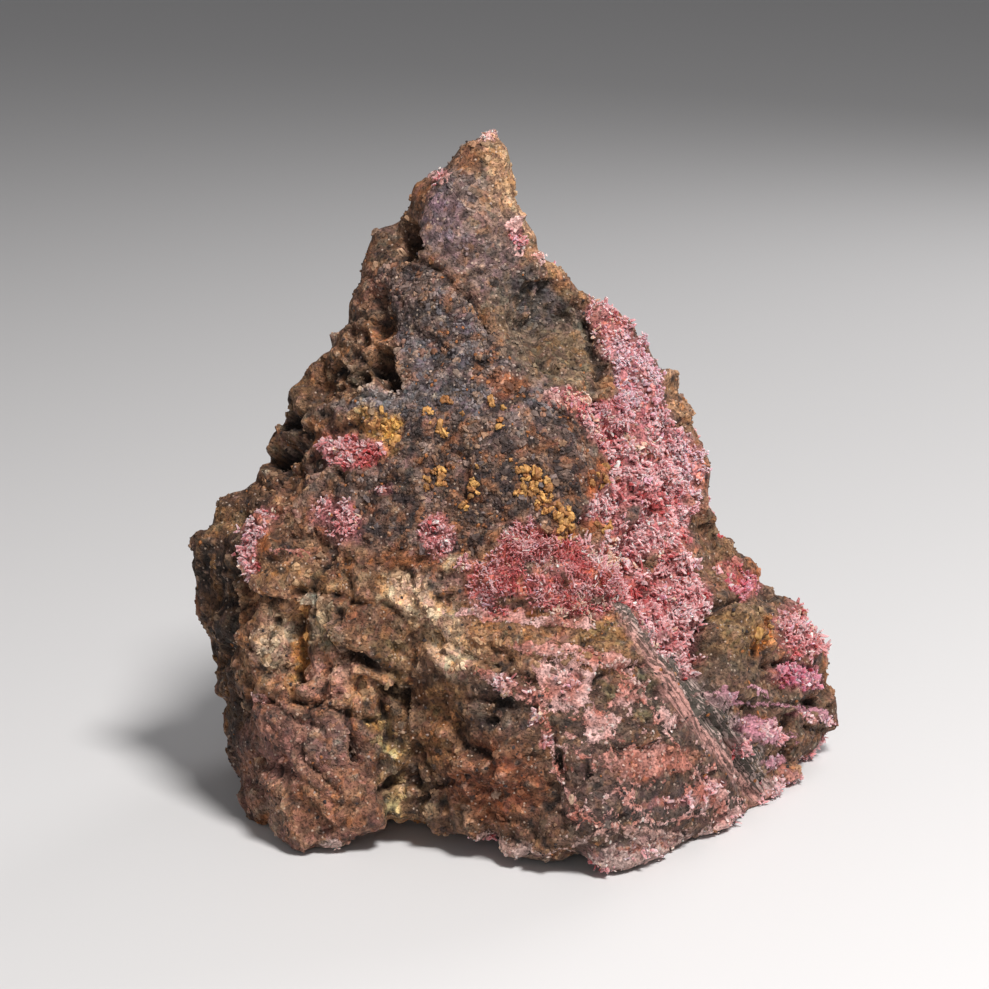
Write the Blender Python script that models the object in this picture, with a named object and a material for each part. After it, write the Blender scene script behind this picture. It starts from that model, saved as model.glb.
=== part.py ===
"""A hand specimen of erythrite on iron-stained matrix: one rough, peaked stone, as broken from the vein.

The stone is drawn from its landmarks. Each landmark is read on a front drawing made from an eye point in front of
the stone and a little above it. The drawing has 10 units to the millimetre, u to the right and v down, with the
stone's standing axis at u = 494.5. A third number gives how far back the landmark lies, in mm, so that every one
is a true point in space. Ridges, lips and grooves are lines of landmarks, and the skin is stretched over them.
The back and the underside are given straight in mm.

Frame: +Z up, -Y towards the viewer, origin on the ground in the middle of the stone's box.
"""

import math

import bmesh
import bpy
import numpy as np
from mathutils import Vector, noise
from mathutils.bvhtree import BVHTree
from mathutils.geometry import delaunay_2d_cdt

MM = 0.001
EYE_DISTANCE = 280.0  # mm from the eye to the stone's axis
EYE_ELEVATION = 15.0  # degrees above the horizon
AXIS_HEIGHT = 30.8  # mm, where the line of sight meets the axis
DRAWING_CENTRE = 494.5
DRAWING_SCALE = 10.0  # drawing units in 1 mm at the axis

EDGE_TURN = 1.5  # mm, how far inside the outline the skin has turned to face forward or back
EDGE_WANDER = 2.4  # mm, how far the outline wanders forward and back between its landmarks
SKIN_STEP = 1.85  # mm, spacing of the finished skin
LUMP_SIZE = 7.0  # mm, spacing of the broad lumps on the broken faces
LUMP_DEPTH = 0.75  # mm
GRAIN_SIZE = 2.6  # mm, spacing of the small lumps
GRAIN_DEPTH = 0.28  # mm

# ---------------------------------------------------------------- outline, clockwise from the summit: u, v, back
OUTLINE = [
    (488, 126, 3.0), (502, 133, 3.0), (508, 147, 3.0), (514, 167, 3.0), (519, 183, 3.0), (525, 205, 3.2),
    (531, 221, 3.5), (541, 240, 3.5), (552, 258, 3.5), (566, 273, 4.0), (581, 286, 4.0), (596, 297, 3.5),
    (606, 304, 4.5), (620, 306, 5.0), (632, 316, 5.5), (641, 333, 6.0), (654, 348, 6.0), (666, 363, 6.0),
    (669, 377, 6.0), (679, 391, 6.0), (690, 403, 6.0), (697, 420, 6.0), (704, 438, 6.0), (713, 456, 6.0),
    (715, 468, 6.0), (709, 479, 5.5), (712, 497, 6.0), (714, 511, 6.5), (722, 523, 7.0), (733, 536, 7.5),
    (742, 549, 8.0), (753, 562, 8.0), (759, 577, 8.0), (764, 590, 8.0), (777, 594, 8.5), (791, 602, 9.0),
    (801, 611, 9.0), (808, 621, 9.0), (819, 626, 9.0), (822, 637, 9.0), (821, 650, 8.5), (827, 663, 8.5),
    (834, 673, 8.5), (836, 685, 9.0), (833, 701, 9.5), (834, 717, 10.0), (831, 729, 10.5), (826, 739, 11.0),
    (814, 746, 9.5), (807, 759, 6.5), (800, 780, 2.0), (790, 792, 0.0), (778, 799, -3.0), (766, 808, -5.5),
    (751, 812, -7.5), (745, 823, -9.5), (735, 827, -11.0), (720, 833, -13.0), (705, 837, -14.6), (691, 843, -16.0),
    (678, 850, -17.5), (659, 856, -19.5), (643, 866, -21.5), (628, 874, -23.3), (615, 876, -23.8), (603, 873, -23.8),
    (590, 865, -23.7), (574, 861, -23.5), (558, 857, -23.2), (540, 856, -22.7), (524, 853, -22.0), (510, 847, -21.3),
    (495, 840, -20.6), (480, 834, -20.0), (462, 828, -19.2), (446, 825, -18.6), (434, 822, -18.0), (422, 817, -17.0),
    (408, 817, -16.4), (397, 824, -17.0), (385, 826, -18.2), (372, 831, -18.6), (360, 829, -18.6), (352, 824, -18.4),
    (346, 832, -18.8), (343, 842, -18.8), (327, 846, -18.4), (312, 850, -18.2), (302, 852, -18.3), (291, 846, -17.0),
    (282, 838, -15.3), (272, 831, -13.3), (261, 821, -10.8), (250, 816, -9.2), (241, 807, -6.6), (238, 797, -5.0),
    (239, 783, -5.0), (233, 765, -4.0), (229, 747, -2.5), (224, 731, -1.5), (221, 716, -1.0), (220, 697, -0.5),
    (217, 681, 0.0), (214, 667, 0.0), (210, 658, 0.2), (211, 643, 0.4), (205, 627, 0.6), (200, 614, 0.8),
    (197, 600, 0.8), (190, 582, 0.5), (186, 569, 0.0), (191, 553, 0.0), (197, 533, 0.5), (207, 519, 1.0),
    (218, 505, 1.5), (231, 492, 2.0), (246, 487, 2.5), (264, 480, 3.0), (258, 470, 4.5), (260, 457, 5.0),
    (270, 442, 5.5), (281, 428, 5.5), (293, 418, 4.5), (289, 402, 6.0), (299, 381, 6.5), (311, 364, 6.5),
    (322, 352, 6.5), (337, 335, 6.5), (349, 315, 7.0), (352, 300, 7.0), (359, 282, 7.0), (364, 263, 7.0),
    (370, 245, 7.0), (376, 231, 7.0), (387, 224, 7.0), (397, 221, 6.5), (402, 213, 6.0), (406, 197, 5.5),
    (411, 184, 5.0), (419, 176, 5.0), (431, 171, 4.5), (441, 158, 4.5), (456, 148, 4.0), (474, 136, 3.5),
]

# ---------------------------------------------------------------- the face: lines (ridges, lips, grooves) and spots
RIDGES = [
    # lip of the granular sheet that overlaps the summit plate, and the step behind it
    [(380, 280, 1.0), (397, 266, 0.0), (412, 263, -1.0), (430, 267, -2.0), (448, 278, -3.0), (462, 291, -4.0),
     (475, 310, -4.6), (485, 335, -5.2), (505, 355, -6.2), (530, 385, -7.4)],
    [(405, 255, 3.4), (424, 261, 0.4), (440, 268, -0.8), (455, 278, -1.6), (470, 293, -2.6), (483, 312, -3.4),
     (494, 333, -4.2)],
    # left edge of the summit plate
    [(440, 194, -0.4), (428, 214, -1.0), (423, 238, -1.6), (425, 256, -2.0)],
    [(432, 190, 2.0), (416, 214, 3.0), (411, 238, 4.0), (408, 250, 4.2)],
    # rim of the dark recess right of the centre
    [(500, 278, -2.3), (515, 273, -1.6), (540, 268, 0.0), (560, 276, 1.2), (572, 292, 1.6), (586, 312, 0.8),
     (598, 343, -0.8), (603, 378, -3.4), (598, 393, -5.2), (566, 396, -7.0), (541, 391, -7.6), (524, 362, -6.4),
     (509, 334, -4.9), (499, 304, -3.4), (500, 278, -2.3)],
    # crease between the granular face and the druse on the right flank
    [(560, 402, -8.0), (580, 418, -6.8), (594, 444, -6.6), (606, 470, -6.4), (610, 500, -6.8), (614, 525, -7.4),
     (622, 552, -8.6), (636, 578, -9.8), (656, 606, -10.6), (676, 636, -11.0), (694, 664, -11.6)],
    # edge where the front slope breaks into that trough
    [(575, 510, -12.2), (588, 536, -12.8), (602, 562, -13.6), (622, 588, -14.4), (642, 614, -15.4), (656, 640, -16.0),
     (672, 666, -16.0), (692, 694, -15.4), (712, 722, -14.2), (728, 750, -12.6), (742, 778, -10.8), (752, 800, -8.9)],
    # the ledge across the middle
    [(255, 560, -8.6), (268, 578, -11.0), (292, 574, -12.6), (330, 566, -13.6), (372, 572, -14.4), (410, 590, -15.6),
     (446, 606, -16.8), (476, 620, -17.6), (520, 624, -17.8), (560, 630, -18.2), (600, 624, -17.8), (628, 616, -17.0)],
    # top edge of the tan band over the lower slope
    [(430, 626, -17.4), (460, 648, -18.8), (490, 668, -19.8), (524, 682, -20.6), (556, 700, -21.8), (574, 730, -22.8),
     (560, 780, -23.0)],
    # front left corner of the foot block
    [(222, 556, -3.6), (234, 574, -6.2), (240, 596, -8.2), (250, 622, -10.4), (258, 652, -12.2), (258, 684, -12.6),
     (252, 716, -12.8), (248, 742, -12.4), (246, 768, -11.4), (243, 790, -9.4)],
    # top of the foot block, standing proud
    [(262, 708, -13.8), (284, 706, -15.6), (312, 716, -16.8), (342, 716, -17.2), (366, 722, -16.6)],
    # groove between the foot block and the lower slope
    [(384, 640, -15.2), (392, 662, -14.6), (404, 684, -14.4), (408, 706, -14.6), (402, 732, -15.2), (396, 758, -15.4),
     (404, 786, -15.6), (414, 806, -15.8)],
    # the brown boss on the right
    [(706, 612, -6.2), (704, 634, -8.8), (712, 658, -10.4), (734, 672, -9.4)],
]
SPOTS = [
    # summit
    (486, 140, 0.6), (500, 160, 0.6), (470, 158, 0.8), (447, 170, 1.6), (424, 192, 3.2), (468, 182, -0.4),
    (505, 190, 0.8), (456, 206, -1.2), (482, 214, -1.2), (508, 220, 0.6), (446, 236, -1.9), (474, 246, -2.2),
    (500, 248, -0.9), (524, 240, 1.2), (492, 268, -2.2), (530, 258, 0.8), (552, 268, 2.0), (576, 294, 2.6),
    # recess
    (524, 294, 1.8), (552, 298, 3.0), (530, 318, 0.8), (562, 326, 1.4), (540, 346, -1.0), (578, 350, 0.2),
    (562, 374, -3.0), (588, 376, -2.2), (546, 366, -2.8),
    # left rim by the summit
    (392, 238, 4.6), (382, 250, 4.8), (378, 268, 4.2), (368, 292, 4.8), (356, 316, 4.6), (392, 256, 4.2),
    # right rim and flank
    (596, 312, 1.6), (612, 322, 2.6), (628, 330, 4.0), (616, 346, 0.4), (640, 352, 3.0), (620, 372, -2.0),
    (646, 378, 1.6), (660, 392, 3.4), (618, 400, -4.6), (640, 410, -2.0), (664, 420, 2.0), (684, 422, 4.0),
    (584, 400, -6.4), (624, 440, -4.4), (650, 446, -1.4), (680, 452, 2.8), (700, 460, 4.6), (628, 474, -5.0),
    (646, 480, -4.0), (676, 486, 0.6), (698, 492, 3.6), (634, 510, -5.8), (656, 512, -4.2), (680, 520, -1.4),
    (702, 522, 3.0), (646, 544, -7.0), (668, 552, -5.8), (690, 552, -2.8), (716, 552, 3.2), (664, 584, -8.2),
    (686, 590, -6.8), (708, 584, -3.6), (736, 580, 3.4), (704, 600, -4.6), (726, 604, -3.0), (752, 604, 2.6),
    (690, 620, -8.8), (698, 646, -9.4), (730, 626, -6.0), (756, 630, -3.2), (782, 618, 3.4), (740, 650, -7.4),
    (766, 652, -3.6), (794, 638, 4.0), (806, 654, 5.4), (780, 672, -1.0), (804, 680, 3.2), (822, 688, 6.6),
    (712, 688, -12.0), (736, 696, -9.8), (762, 700, -5.6), (792, 706, 0.8), (816, 712, 5.6), (730, 726, -11.2),
    (752, 732, -8.4), (776, 738, -3.6), (800, 736, 2.6), (748, 762, -9.4), (772, 768, -5.0), (790, 766, -0.4),
    (762, 790, -6.4),
    # granular face
    (388, 300, 0.6), (404, 284, -1.2), (424, 290, -2.8), (444, 306, -4.2), (406, 318, -2.6), (430, 334, -4.6),
    (460, 332, -5.2), (482, 362, -6.4), (414, 352, -4.6), (448, 370, -6.8), (500, 390, -8.2), (420, 384, -6.8),
    (460, 402, -8.6), (520, 414, -9.6), (546, 420, -9.6), (402, 412, -8.2), (436, 424, -9.4), (480, 430, -10.6),
    (568, 440, -11.0), (420, 450, -10.2), (460, 456, -11.2), (510, 452, -11.8), (546, 464, -11.8), (580, 474, -12.0),
    (400, 476, -10.8), (440, 486, -12.2), (486, 486, -12.9), (530, 494, -13.0), (564, 492, -12.4),
    # cavity by the left ridge
    (346, 374, -2.0), (352, 388, -4.8), (371, 384, -6.2), (386, 392, -7.2), (397, 379, -6.4), (402, 360, -5.2),
    (396, 344, -3.8), (380, 344, -2.4), (364, 352, -1.0), (376, 367, 1.0), (366, 375, 0.6),
    (384, 324, 0.6), (366, 334, 1.6),
    # left ridge, its small lobe and its cleft
    (348, 330, 3.4), (336, 348, 3.2), (322, 364, 3.4), (308, 380, 4.2), (322, 392, 4.0), (338, 380, 2.4),
    (300, 398, 4.6), (304, 412, 1.6), (320, 410, 0.2), (336, 402, -2.0), (306, 430, 3.2), (290, 446, 3.4),
    (279, 460, 3.4), (276, 436, 4.2), (268, 454, 4.0), (268, 472, 2.4),
    (318, 430, -1.8), (302, 450, -1.6), (290, 470, -1.6), (334, 424, -4.8), (356, 410, -6.4), (380, 412, -7.6),
    (346, 448, -7.0), (376, 450, -9.0), (328, 470, -6.4), (356, 478, -8.8), (306, 482, -4.8), (280, 484, -2.0),
    # shoulder with the small pink patches
    (256, 498, -0.8), (240, 512, -1.2), (226, 528, -1.6), (210, 546, -1.4), (272, 508, -4.2), (254, 530, -5.4),
    (242, 552, -6.4), (300, 508, -7.0), (336, 508, -9.2), (376, 512, -11.2), (410, 510, -12.0), (444, 524, -13.6),
    (284, 538, -8.8), (320, 540, -11.0), (360, 544, -12.8), (404, 546, -13.8), (440, 556, -15.0), (470, 540, -14.0),
    # dark left flank
    (206, 572, -1.4), (218, 590, -3.0), (212, 612, -1.6), (232, 618, -5.6), (226, 642, -3.4), (244, 652, -8.6),
    (228, 676, -3.4), (242, 690, -7.8), (232, 716, -4.4), (240, 738, -8.0), (238, 766, -6.6),
    # upper part of the front left block
    (276, 600, -12.6), (264, 618, -12.4), (286, 602, -10.8), (302, 598, -14.2), (336, 600, -15.0), (372, 604, -15.4),
    (408, 616, -16.2), (272, 650, -13.2), (284, 650, -12.4), (297, 644, -11.8), (310, 640, -14.6), (344, 640, -15.8),
    (294, 676, -11.9), (276, 686, -13.6), (314, 680, -15.4), (340, 684, -16.2), (364, 680, -15.8), (372, 648, -16.0),
    # foot block
    (266, 744, -14.6), (296, 744, -17.4), (330, 744, -18.2), (360, 752, -17.8), (262, 780, -14.0), (290, 784, -17.8),
    (324, 784, -19.0), (360, 788, -18.8), (270, 810, -14.4), (296, 822, -18.0), (330, 824, -19.2), (364, 812, -19.0),
    (384, 796, -17.6), (382, 764, -16.8), (378, 724, -16.0),
    # lower slope
    (422, 660, -17.0), (450, 684, -18.6), (430, 706, -17.2), (478, 706, -20.2), (516, 716, -21.4), (440, 742, -18.2),
    (480, 744, -20.6), (520, 752, -22.2), (430, 776, -17.6), (464, 786, -20.0), (504, 792, -21.8), (540, 800, -22.9),
    (440, 806, -18.6), (484, 816, -20.6), (528, 834, -22.6), (566, 824, -23.6), (592, 800, -24.2), (546, 752, -22.9),
    (574, 848, -24.0),
    # central druse and the tan band under it
    (500, 528, -14.6), (530, 520, -14.0), (556, 540, -14.8), (480, 566, -15.6), (516, 560, -16.0), (552, 572, -16.2),
    (586, 580, -15.6), (500, 596, -16.8), (540, 602, -17.2), (584, 604, -17.0), (612, 602, -16.0),
    (500, 644, -19.0), (540, 652, -19.8), (580, 656, -20.0), (616, 646, -19.0),
    # lower right face
    (602, 690, -21.8), (640, 672, -19.0), (640, 710, -20.2), (672, 700, -18.0), (600, 736, -23.2), (640, 748, -21.6),
    (680, 738, -18.4), (704, 756, -15.8), (620, 784, -23.2), (660, 784, -20.4), (700, 788, -16.4), (728, 796, -12.6),
    (610, 826, -24.6), (650, 820, -21.8), (690, 818, -17.4), (728, 816, -11.8), (600, 856, -24.6), (634, 850, -23.0),
    (664, 840, -20.0),
]

# ---------------------------------------------------------------- back and underside, straight in mm: x, y, z
BACK_RIDGES = [
    # the long ridge down the back, from the summit to the ground
    [(-1.5, 6.8, 62.0), (-3.4, 10.2, 54.0), (-2.0, 14.4, 47.0), (-5.6, 17.6, 40.0), (-4.4, 21.8, 31.0),
     (-7.2, 23.4, 21.0), (-5.0, 25.2, 12.0), (-6.5, 23.6, 4.0)],
    # the right-hand rib
    [(4.0, 9.0, 48.0), (7.6, 12.6, 41.0), (12.8, 13.8, 34.0), (15.0, 18.4, 25.5), (19.6, 19.0, 17.0),
     (19.0, 20.6, 9.0), (21.0, 18.4, 3.0)],
    # the left-hand rib
    [(-8.2, 10.8, 45.0), (-12.6, 13.2, 38.0), (-15.4, 15.8, 30.0), (-20.0, 15.0, 22.0), (-20.6, 15.4, 13.0),
     (-18.6, 14.6, 4.0)],
    # a broken ledge across the back: its lip, and the foot of the step above it
    [(-15.8, 17.4, 25.0), (-9.8, 20.8, 27.0), (-1.0, 23.4, 27.4), (5.0, 23.0, 25.0), (10.0, 21.8, 25.8)],
    [(-14.6, 15.6, 27.6), (-9.0, 18.4, 29.8), (-0.4, 20.6, 30.4), (5.8, 19.8, 28.4), (10.6, 18.6, 28.6)],
    # a slanting step on the right of the back
    [(8.4, 22.6, 19.0), (13.6, 21.0, 14.0), (15.4, 21.6, 7.0)],
    [(10.2, 20.4, 20.6), (15.4, 18.8, 15.4), (17.2, 19.4, 8.0)],
]
BACK = [
    (1.5, 8.2, 56.0), (-6.6, 12.4, 49.0), (1.6, 12.6, 44.0), (-9.2, 14.6, 40.0), (1.4, 16.2, 37.0), (6.6, 16.4, 33.0),
    (-10.4, 17.6, 33.5), (17.6, 11.4, 29.0), (-20.4, 9.4, 28.0), (1.6, 22.8, 20.0), (-13.6, 20.4, 18.0),
    (24.4, 14.0, 18.0), (28.6, 12.6, 14.0), (2.4, 24.2, 10.0), (-13.0, 21.2, 9.0), (9.2, 23.6, 10.0), (25.2, 17.0, 9.0),
    (29.6, 14.2, 7.0), (-25.6, 7.4, 22.0), (-26.2, 6.2, 15.0), (-24.0, 9.6, 8.0), (-24.0, 3.5, 9.5),
    (-22.8, 6.5, 4.4), (3.0, 23.4, 3.2), (12.0, 21.6, 3.0), (27.0, 15.2, 3.0), (-13.0, 19.0, 3.2),
]
UNDERSIDE = [
    (-22.5, -2.5, 1.4), (-20.5, -8.0, 0.4), (-21.0, 3.0, 1.2),
    (-18.6, -14.0, -0.7), (-16.6, -10.0, -1.0), (-18.5, -2.0, -0.9), (-17.5, 5.0, -0.9), (-12.0, 11.5, -0.9),
    (-13.0, -12.8, 0.6), (-8.5, -13.5, 3.0), (-3.0, -15.4, 2.2), (3.0, -17.6, 0.8),
    (-11.0, -6.0, -0.9), (-8.0, -9.5, 1.8), (-2.0, -11.0, 1.2), (-3.0, -5.0, -1.0), (5.0, -13.0, -0.8),
    (11.0, -20.0, -0.9), (14.0, -17.0, -1.0), (10.0, -10.0, -1.0), (20.0, -9.5, -0.9), (25.5, -2.5, -0.8),
    (-6.0, 3.0, -1.0), (-3.0, 12.0, -1.0), (4.0, 1.0, -1.0), (6.0, 14.0, -1.0), (14.0, 4.0, -1.0), (15.0, 14.0, -1.0),
    (22.0, 5.5, -0.9), (24.0, 11.5, -0.6),
]


def eye_axes():
    """The eye point, the line of sight, and the drawing's right and up, in mm."""
    e = math.radians(EYE_ELEVATION)
    sight = Vector((0.0, math.cos(e), -math.sin(e)))
    up = Vector((0.0, math.sin(e), math.cos(e)))
    eye = Vector((0.0, 0.0, AXIS_HEIGHT)) - sight * EYE_DISTANCE
    return eye, sight, Vector((1.0, 0.0, 0.0)), up


def in_space(u, v, back):
    """The point seen at (u, v) on the drawing that lies at y = back."""
    eye, sight, right, up = eye_axes()
    k = DRAWING_SCALE * EYE_DISTANCE
    ray = sight + right * ((u - DRAWING_CENTRE) / k) + up * ((DRAWING_CENTRE - v) / k)
    return eye + ray * ((back - eye.y) / ray.y)


def on_drawing(p):
    """Where a point in mm is seen on the drawing."""
    eye, sight, right, up = eye_axes()
    d = Vector(p) - eye
    k = DRAWING_SCALE * EYE_DISTANCE / d.dot(sight)
    return Vector((DRAWING_CENTRE + d.dot(right) * k, -(DRAWING_CENTRE - d.dot(up) * k)))


def inside(point, ring):
    """Whether a drawing point lies inside the outline."""
    x, y = point
    hit = False
    for (x0, y0), (x1, y1) in zip(ring, ring[1:] + ring[:1]):
        if (y0 > y) != (y1 > y) and x < x0 + (y - y0) / (y1 - y0) * (x1 - x0):
            hit = not hit
    return hit


def turned_edge(rim, depth):
    """Points a little inside the outline, where the skin has turned away from the edge."""
    made = []
    count = len(rim)
    for i in range(0, count, 2):
        u, v, back = rim[i]
        before, after = rim[i - 1], rim[(i + 1) % count]
        along = Vector((after[0] - before[0], after[1] - before[1])).normalized()
        at = Vector((u - along.y * EDGE_TURN * DRAWING_SCALE, v + along.x * EDGE_TURN * DRAWING_SCALE))
        clear = min((Vector(q[:2]) - at).length for q in rim)
        if inside(at, [q[:2] for q in rim]) and clear > 0.7 * EDGE_TURN * DRAWING_SCALE:
            made.append(in_space(at.x, at.y, back + depth))
    return made


def side_of_stone(rim, lines, spots, depth):
    """Triangles over the outline and the landmarks of one side. Returns points in mm and triangles, the rim first."""
    space = [in_space(*p) for p in rim]
    edges = [(i, (i + 1) % len(rim)) for i in range(len(rim))]
    for line in lines:
        for i, p in enumerate(line):
            if i:
                edges.append((len(space) - 1, len(space)))
            space.append(p)
    space += spots
    taken = [on_drawing(p) for p in space[len(rim):]]
    for p in turned_edge(rim, depth):
        at = on_drawing(p)
        if min((at - q).length for q in taken) > EDGE_TURN * DRAWING_SCALE * 0.8:
            space.append(p)
    flat = [on_drawing(p) for p in space]
    made, _, faces, came_from, _, _ = delaunay_2d_cdt(flat, edges, [list(range(len(rim)))], 1, 0.01)
    points = []
    for index, at in enumerate(made):
        known = came_from[index]
        if known:
            points.append(space[known[0]])
        else:  # a crossing of two lines, kept at its neighbours' depth
            near = sorted(range(len(flat)), key=lambda j: (flat[j] - at).length)[:3]
            back = sum(space[j].y for j in near) / len(near)
            points.append(in_space(at.x, -at.y, back))
    return points, [tuple(f) for f in faces], [came_from[i][0] if came_from[i] else None for i in range(len(made))]


def cage():
    """The stone as a closed cage of flat facets, in mm."""
    mesh = bmesh.new()
    outline = []
    for u, v, back in OUTLINE:
        p = in_space(u, v, back)
        wander = noise.fractal(p / 5.0, 0.9, 2.0, 2) if p.z > 4.0 else 0.0
        outline.append((u, v, back + EDGE_WANDER * wander))
    ring = [mesh.verts.new(in_space(*p)) for p in outline]
    count = len(outline)
    lines = [[in_space(*p) for p in line] for line in RIDGES]
    front = side_of_stone(outline, lines, [in_space(*p) for p in SPOTS], -EDGE_TURN)
    ribs = [[Vector(p) for p in line] for line in BACK_RIDGES]
    rear = side_of_stone(outline, ribs, [Vector(p) for p in BACK + UNDERSIDE], EDGE_TURN)
    sides = []
    for points, faces, source in (front, rear):
        verts = []
        for point, known in zip(points, source):
            verts.append(ring[known] if known is not None and known < count else mesh.verts.new(point))
        sides.append([[verts[i] for i in face] for face in faces])
    # a facet that front and back would both put between the same three rim points has no thickness, so it is left off
    flaps = {frozenset(f) for f in sides[0]} & {frozenset(f) for f in sides[1]}
    for faces in sides:
        for corners in faces:
            if len(set(corners)) == 3 and frozenset(corners) not in flaps:
                mesh.faces.new(corners)
    bmesh.ops.delete(mesh, geom=[e for e in mesh.edges if not e.link_faces], context="EDGES")
    bmesh.ops.delete(mesh, geom=[v for v in mesh.verts if not v.link_faces], context="VERTS")
    bmesh.ops.recalc_face_normals(mesh, faces=mesh.faces)
    return mesh


def object_of(mesh, name):
    data = bpy.data.meshes.new(name)
    mesh.to_mesh(data)
    mesh.free()
    obj = bpy.data.objects.new(name, data)
    bpy.context.scene.collection.objects.link(obj)
    return obj


def skin_over(cage_object):
    """An even skin over the cage, in mm, with the broken stone's lumps on it and its foot cut flat."""
    remesh = cage_object.modifiers.new("skin", "REMESH")
    remesh.mode = "VOXEL"
    remesh.voxel_size = SKIN_STEP
    bpy.context.view_layer.update()
    graph = bpy.context.evaluated_depsgraph_get()
    skin = bmesh.new()
    skin.from_mesh(cage_object.evaluated_get(graph).to_mesh())
    cage_object.modifiers.remove(remesh)
    flat = bmesh.new()
    flat.from_mesh(cage_object.data)
    tree = BVHTree.FromBMesh(flat)
    # the even skin is drawn back onto the facets, so that ridges and lips stay where they were set
    for vert in skin.verts:
        near = tree.find_nearest(vert.co)
        vert.co = vert.co.lerp(near[0], 0.85)
    flat.free()
    # one easing of the skin takes the saw-teeth off its sharp edges
    eased = [
        vert.co.lerp(sum((e.other_vert(vert).co for e in vert.link_edges), Vector()) / len(vert.link_edges), 0.4)
        for vert in skin.verts
    ]
    for vert, co in zip(skin.verts, eased):
        vert.co = co
    skin.normal_update()
    moves = []
    for vert in skin.verts:
        p = vert.co
        lump = noise.fractal(p / LUMP_SIZE, 0.8, 2.1, 3)
        grain = noise.noise(p / GRAIN_SIZE + Vector((7.3, 1.9, 4.4)))
        moves.append(vert.normal * (LUMP_DEPTH * lump + GRAIN_DEPTH * grain))
    for vert, move in zip(skin.verts, moves):
        vert.co += move
    # foot: everything under the ground is cut away and the cut is closed flat
    whole = skin.verts[:] + skin.edges[:] + skin.faces[:]
    bmesh.ops.bisect_plane(
        skin, geom=whole, dist=1e-4, plane_co=(0, 0, 0), plane_no=(0, 0, -1), clear_outer=True
    )
    rims = [e for e in skin.edges if e.is_boundary]
    bmesh.ops.holes_fill(skin, edges=rims, sides=0)
    bmesh.ops.triangulate(skin, faces=skin.faces[:], quad_method="BEAUTY", ngon_method="BEAUTY")
    bmesh.ops.recalc_face_normals(skin, faces=skin.faces[:])
    return skin


def stone_material():
    material = bpy.data.materials.new("iron_stained_matrix")
    material.use_nodes = True
    shader = material.node_tree.nodes["Principled BSDF"]
    shader.inputs["Base Color"].default_value = (0.135, 0.085, 0.055, 1.0)
    shader.inputs["Roughness"].default_value = 0.8
    shader.inputs["Metallic"].default_value = 0.0
    return material


def main():
    for old in list(bpy.data.objects):
        bpy.data.objects.remove(old)
    cage_object = object_of(cage(), "cage")
    stone = object_of(skin_over(cage_object), "rock")
    bpy.data.objects.remove(cage_object)
    points = np.empty(len(stone.data.vertices) * 3, np.float32)
    stone.data.vertices.foreach_get("co", points)
    points = points.reshape(-1, 3)
    low, high = points.min(0), points.max(0)
    # the origin goes to the middle of the box, on the ground
    shift = np.array([(low[0] + high[0]) / 2, (low[1] + high[1]) / 2, 0.0], np.float32)
    print("origin moved by (mm)", shift, "box", high - low)
    stone.data.vertices.foreach_set("co", ((points - shift) * MM).ravel())
    stone.data.update()
    stone.data.materials.append(stone_material())
    stone.data.shade_smooth()
    stone.data.set_sharp_from_angle(angle=math.radians(38))


main()
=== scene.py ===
"""Erythrite on iron-stained matrix: the look of the specimen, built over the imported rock."""
import math

import bmesh
import bpy
import numpy as np
from mathutils import Matrix, Vector
from mathutils.bvhtree import BVHTree


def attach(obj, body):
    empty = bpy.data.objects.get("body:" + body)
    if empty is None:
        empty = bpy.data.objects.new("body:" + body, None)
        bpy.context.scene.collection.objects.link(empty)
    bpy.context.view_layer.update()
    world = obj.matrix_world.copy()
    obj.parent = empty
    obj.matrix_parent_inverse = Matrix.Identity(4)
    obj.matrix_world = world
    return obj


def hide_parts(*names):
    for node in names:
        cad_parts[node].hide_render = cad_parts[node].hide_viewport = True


MM = 0.001
# ------------------------------------------------------------------------------------------- the drawing's eye
EYE_DISTANCE, EYE_ELEVATION, AXIS_HEIGHT, AXIS_X = 280.0, 15.0, 30.8, -2.857
CENTRE, SCALE = 494.5, 10.0  # drawing units: 10 to the millimetre at the axis, u right, v down
_e = math.radians(EYE_ELEVATION)
SIGHT = np.array((0.0, math.cos(_e), -math.sin(_e)))
UP = np.array((0.0, math.sin(_e), math.cos(_e)))
RIGHT = np.array((1.0, 0.0, 0.0))
AIM = np.array((AXIS_X, 0.0, AXIS_HEIGHT))
EYE = AIM - SIGHT * EYE_DISTANCE


def drawn(p):
    """Drawing coordinates of points in mm."""
    d = p - EYE
    k = SCALE * EYE_DISTANCE / (d @ SIGHT)
    return CENTRE + (d @ RIGHT) * k, CENTRE - (d @ UP) * k


# ------------------------------------------------------------------------------------------- noise
def _hash(i, j, k, seed):
    h = (i * 374761393 + j * 668265263 + k * 2147483647 + seed * 974711) & 0xFFFFFFFF
    h = ((h ^ (h >> 13)) * 1274126177) & 0xFFFFFFFF
    h = ((h ^ (h >> 16)) * 2246822519) & 0xFFFFFFFF
    return h ^ (h >> 15)


_rng0 = np.random.default_rng(11)
_GRAD = _rng0.normal(size=(256, 3))
_GRAD /= np.linalg.norm(_GRAD, axis=1)[:, None]


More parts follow.
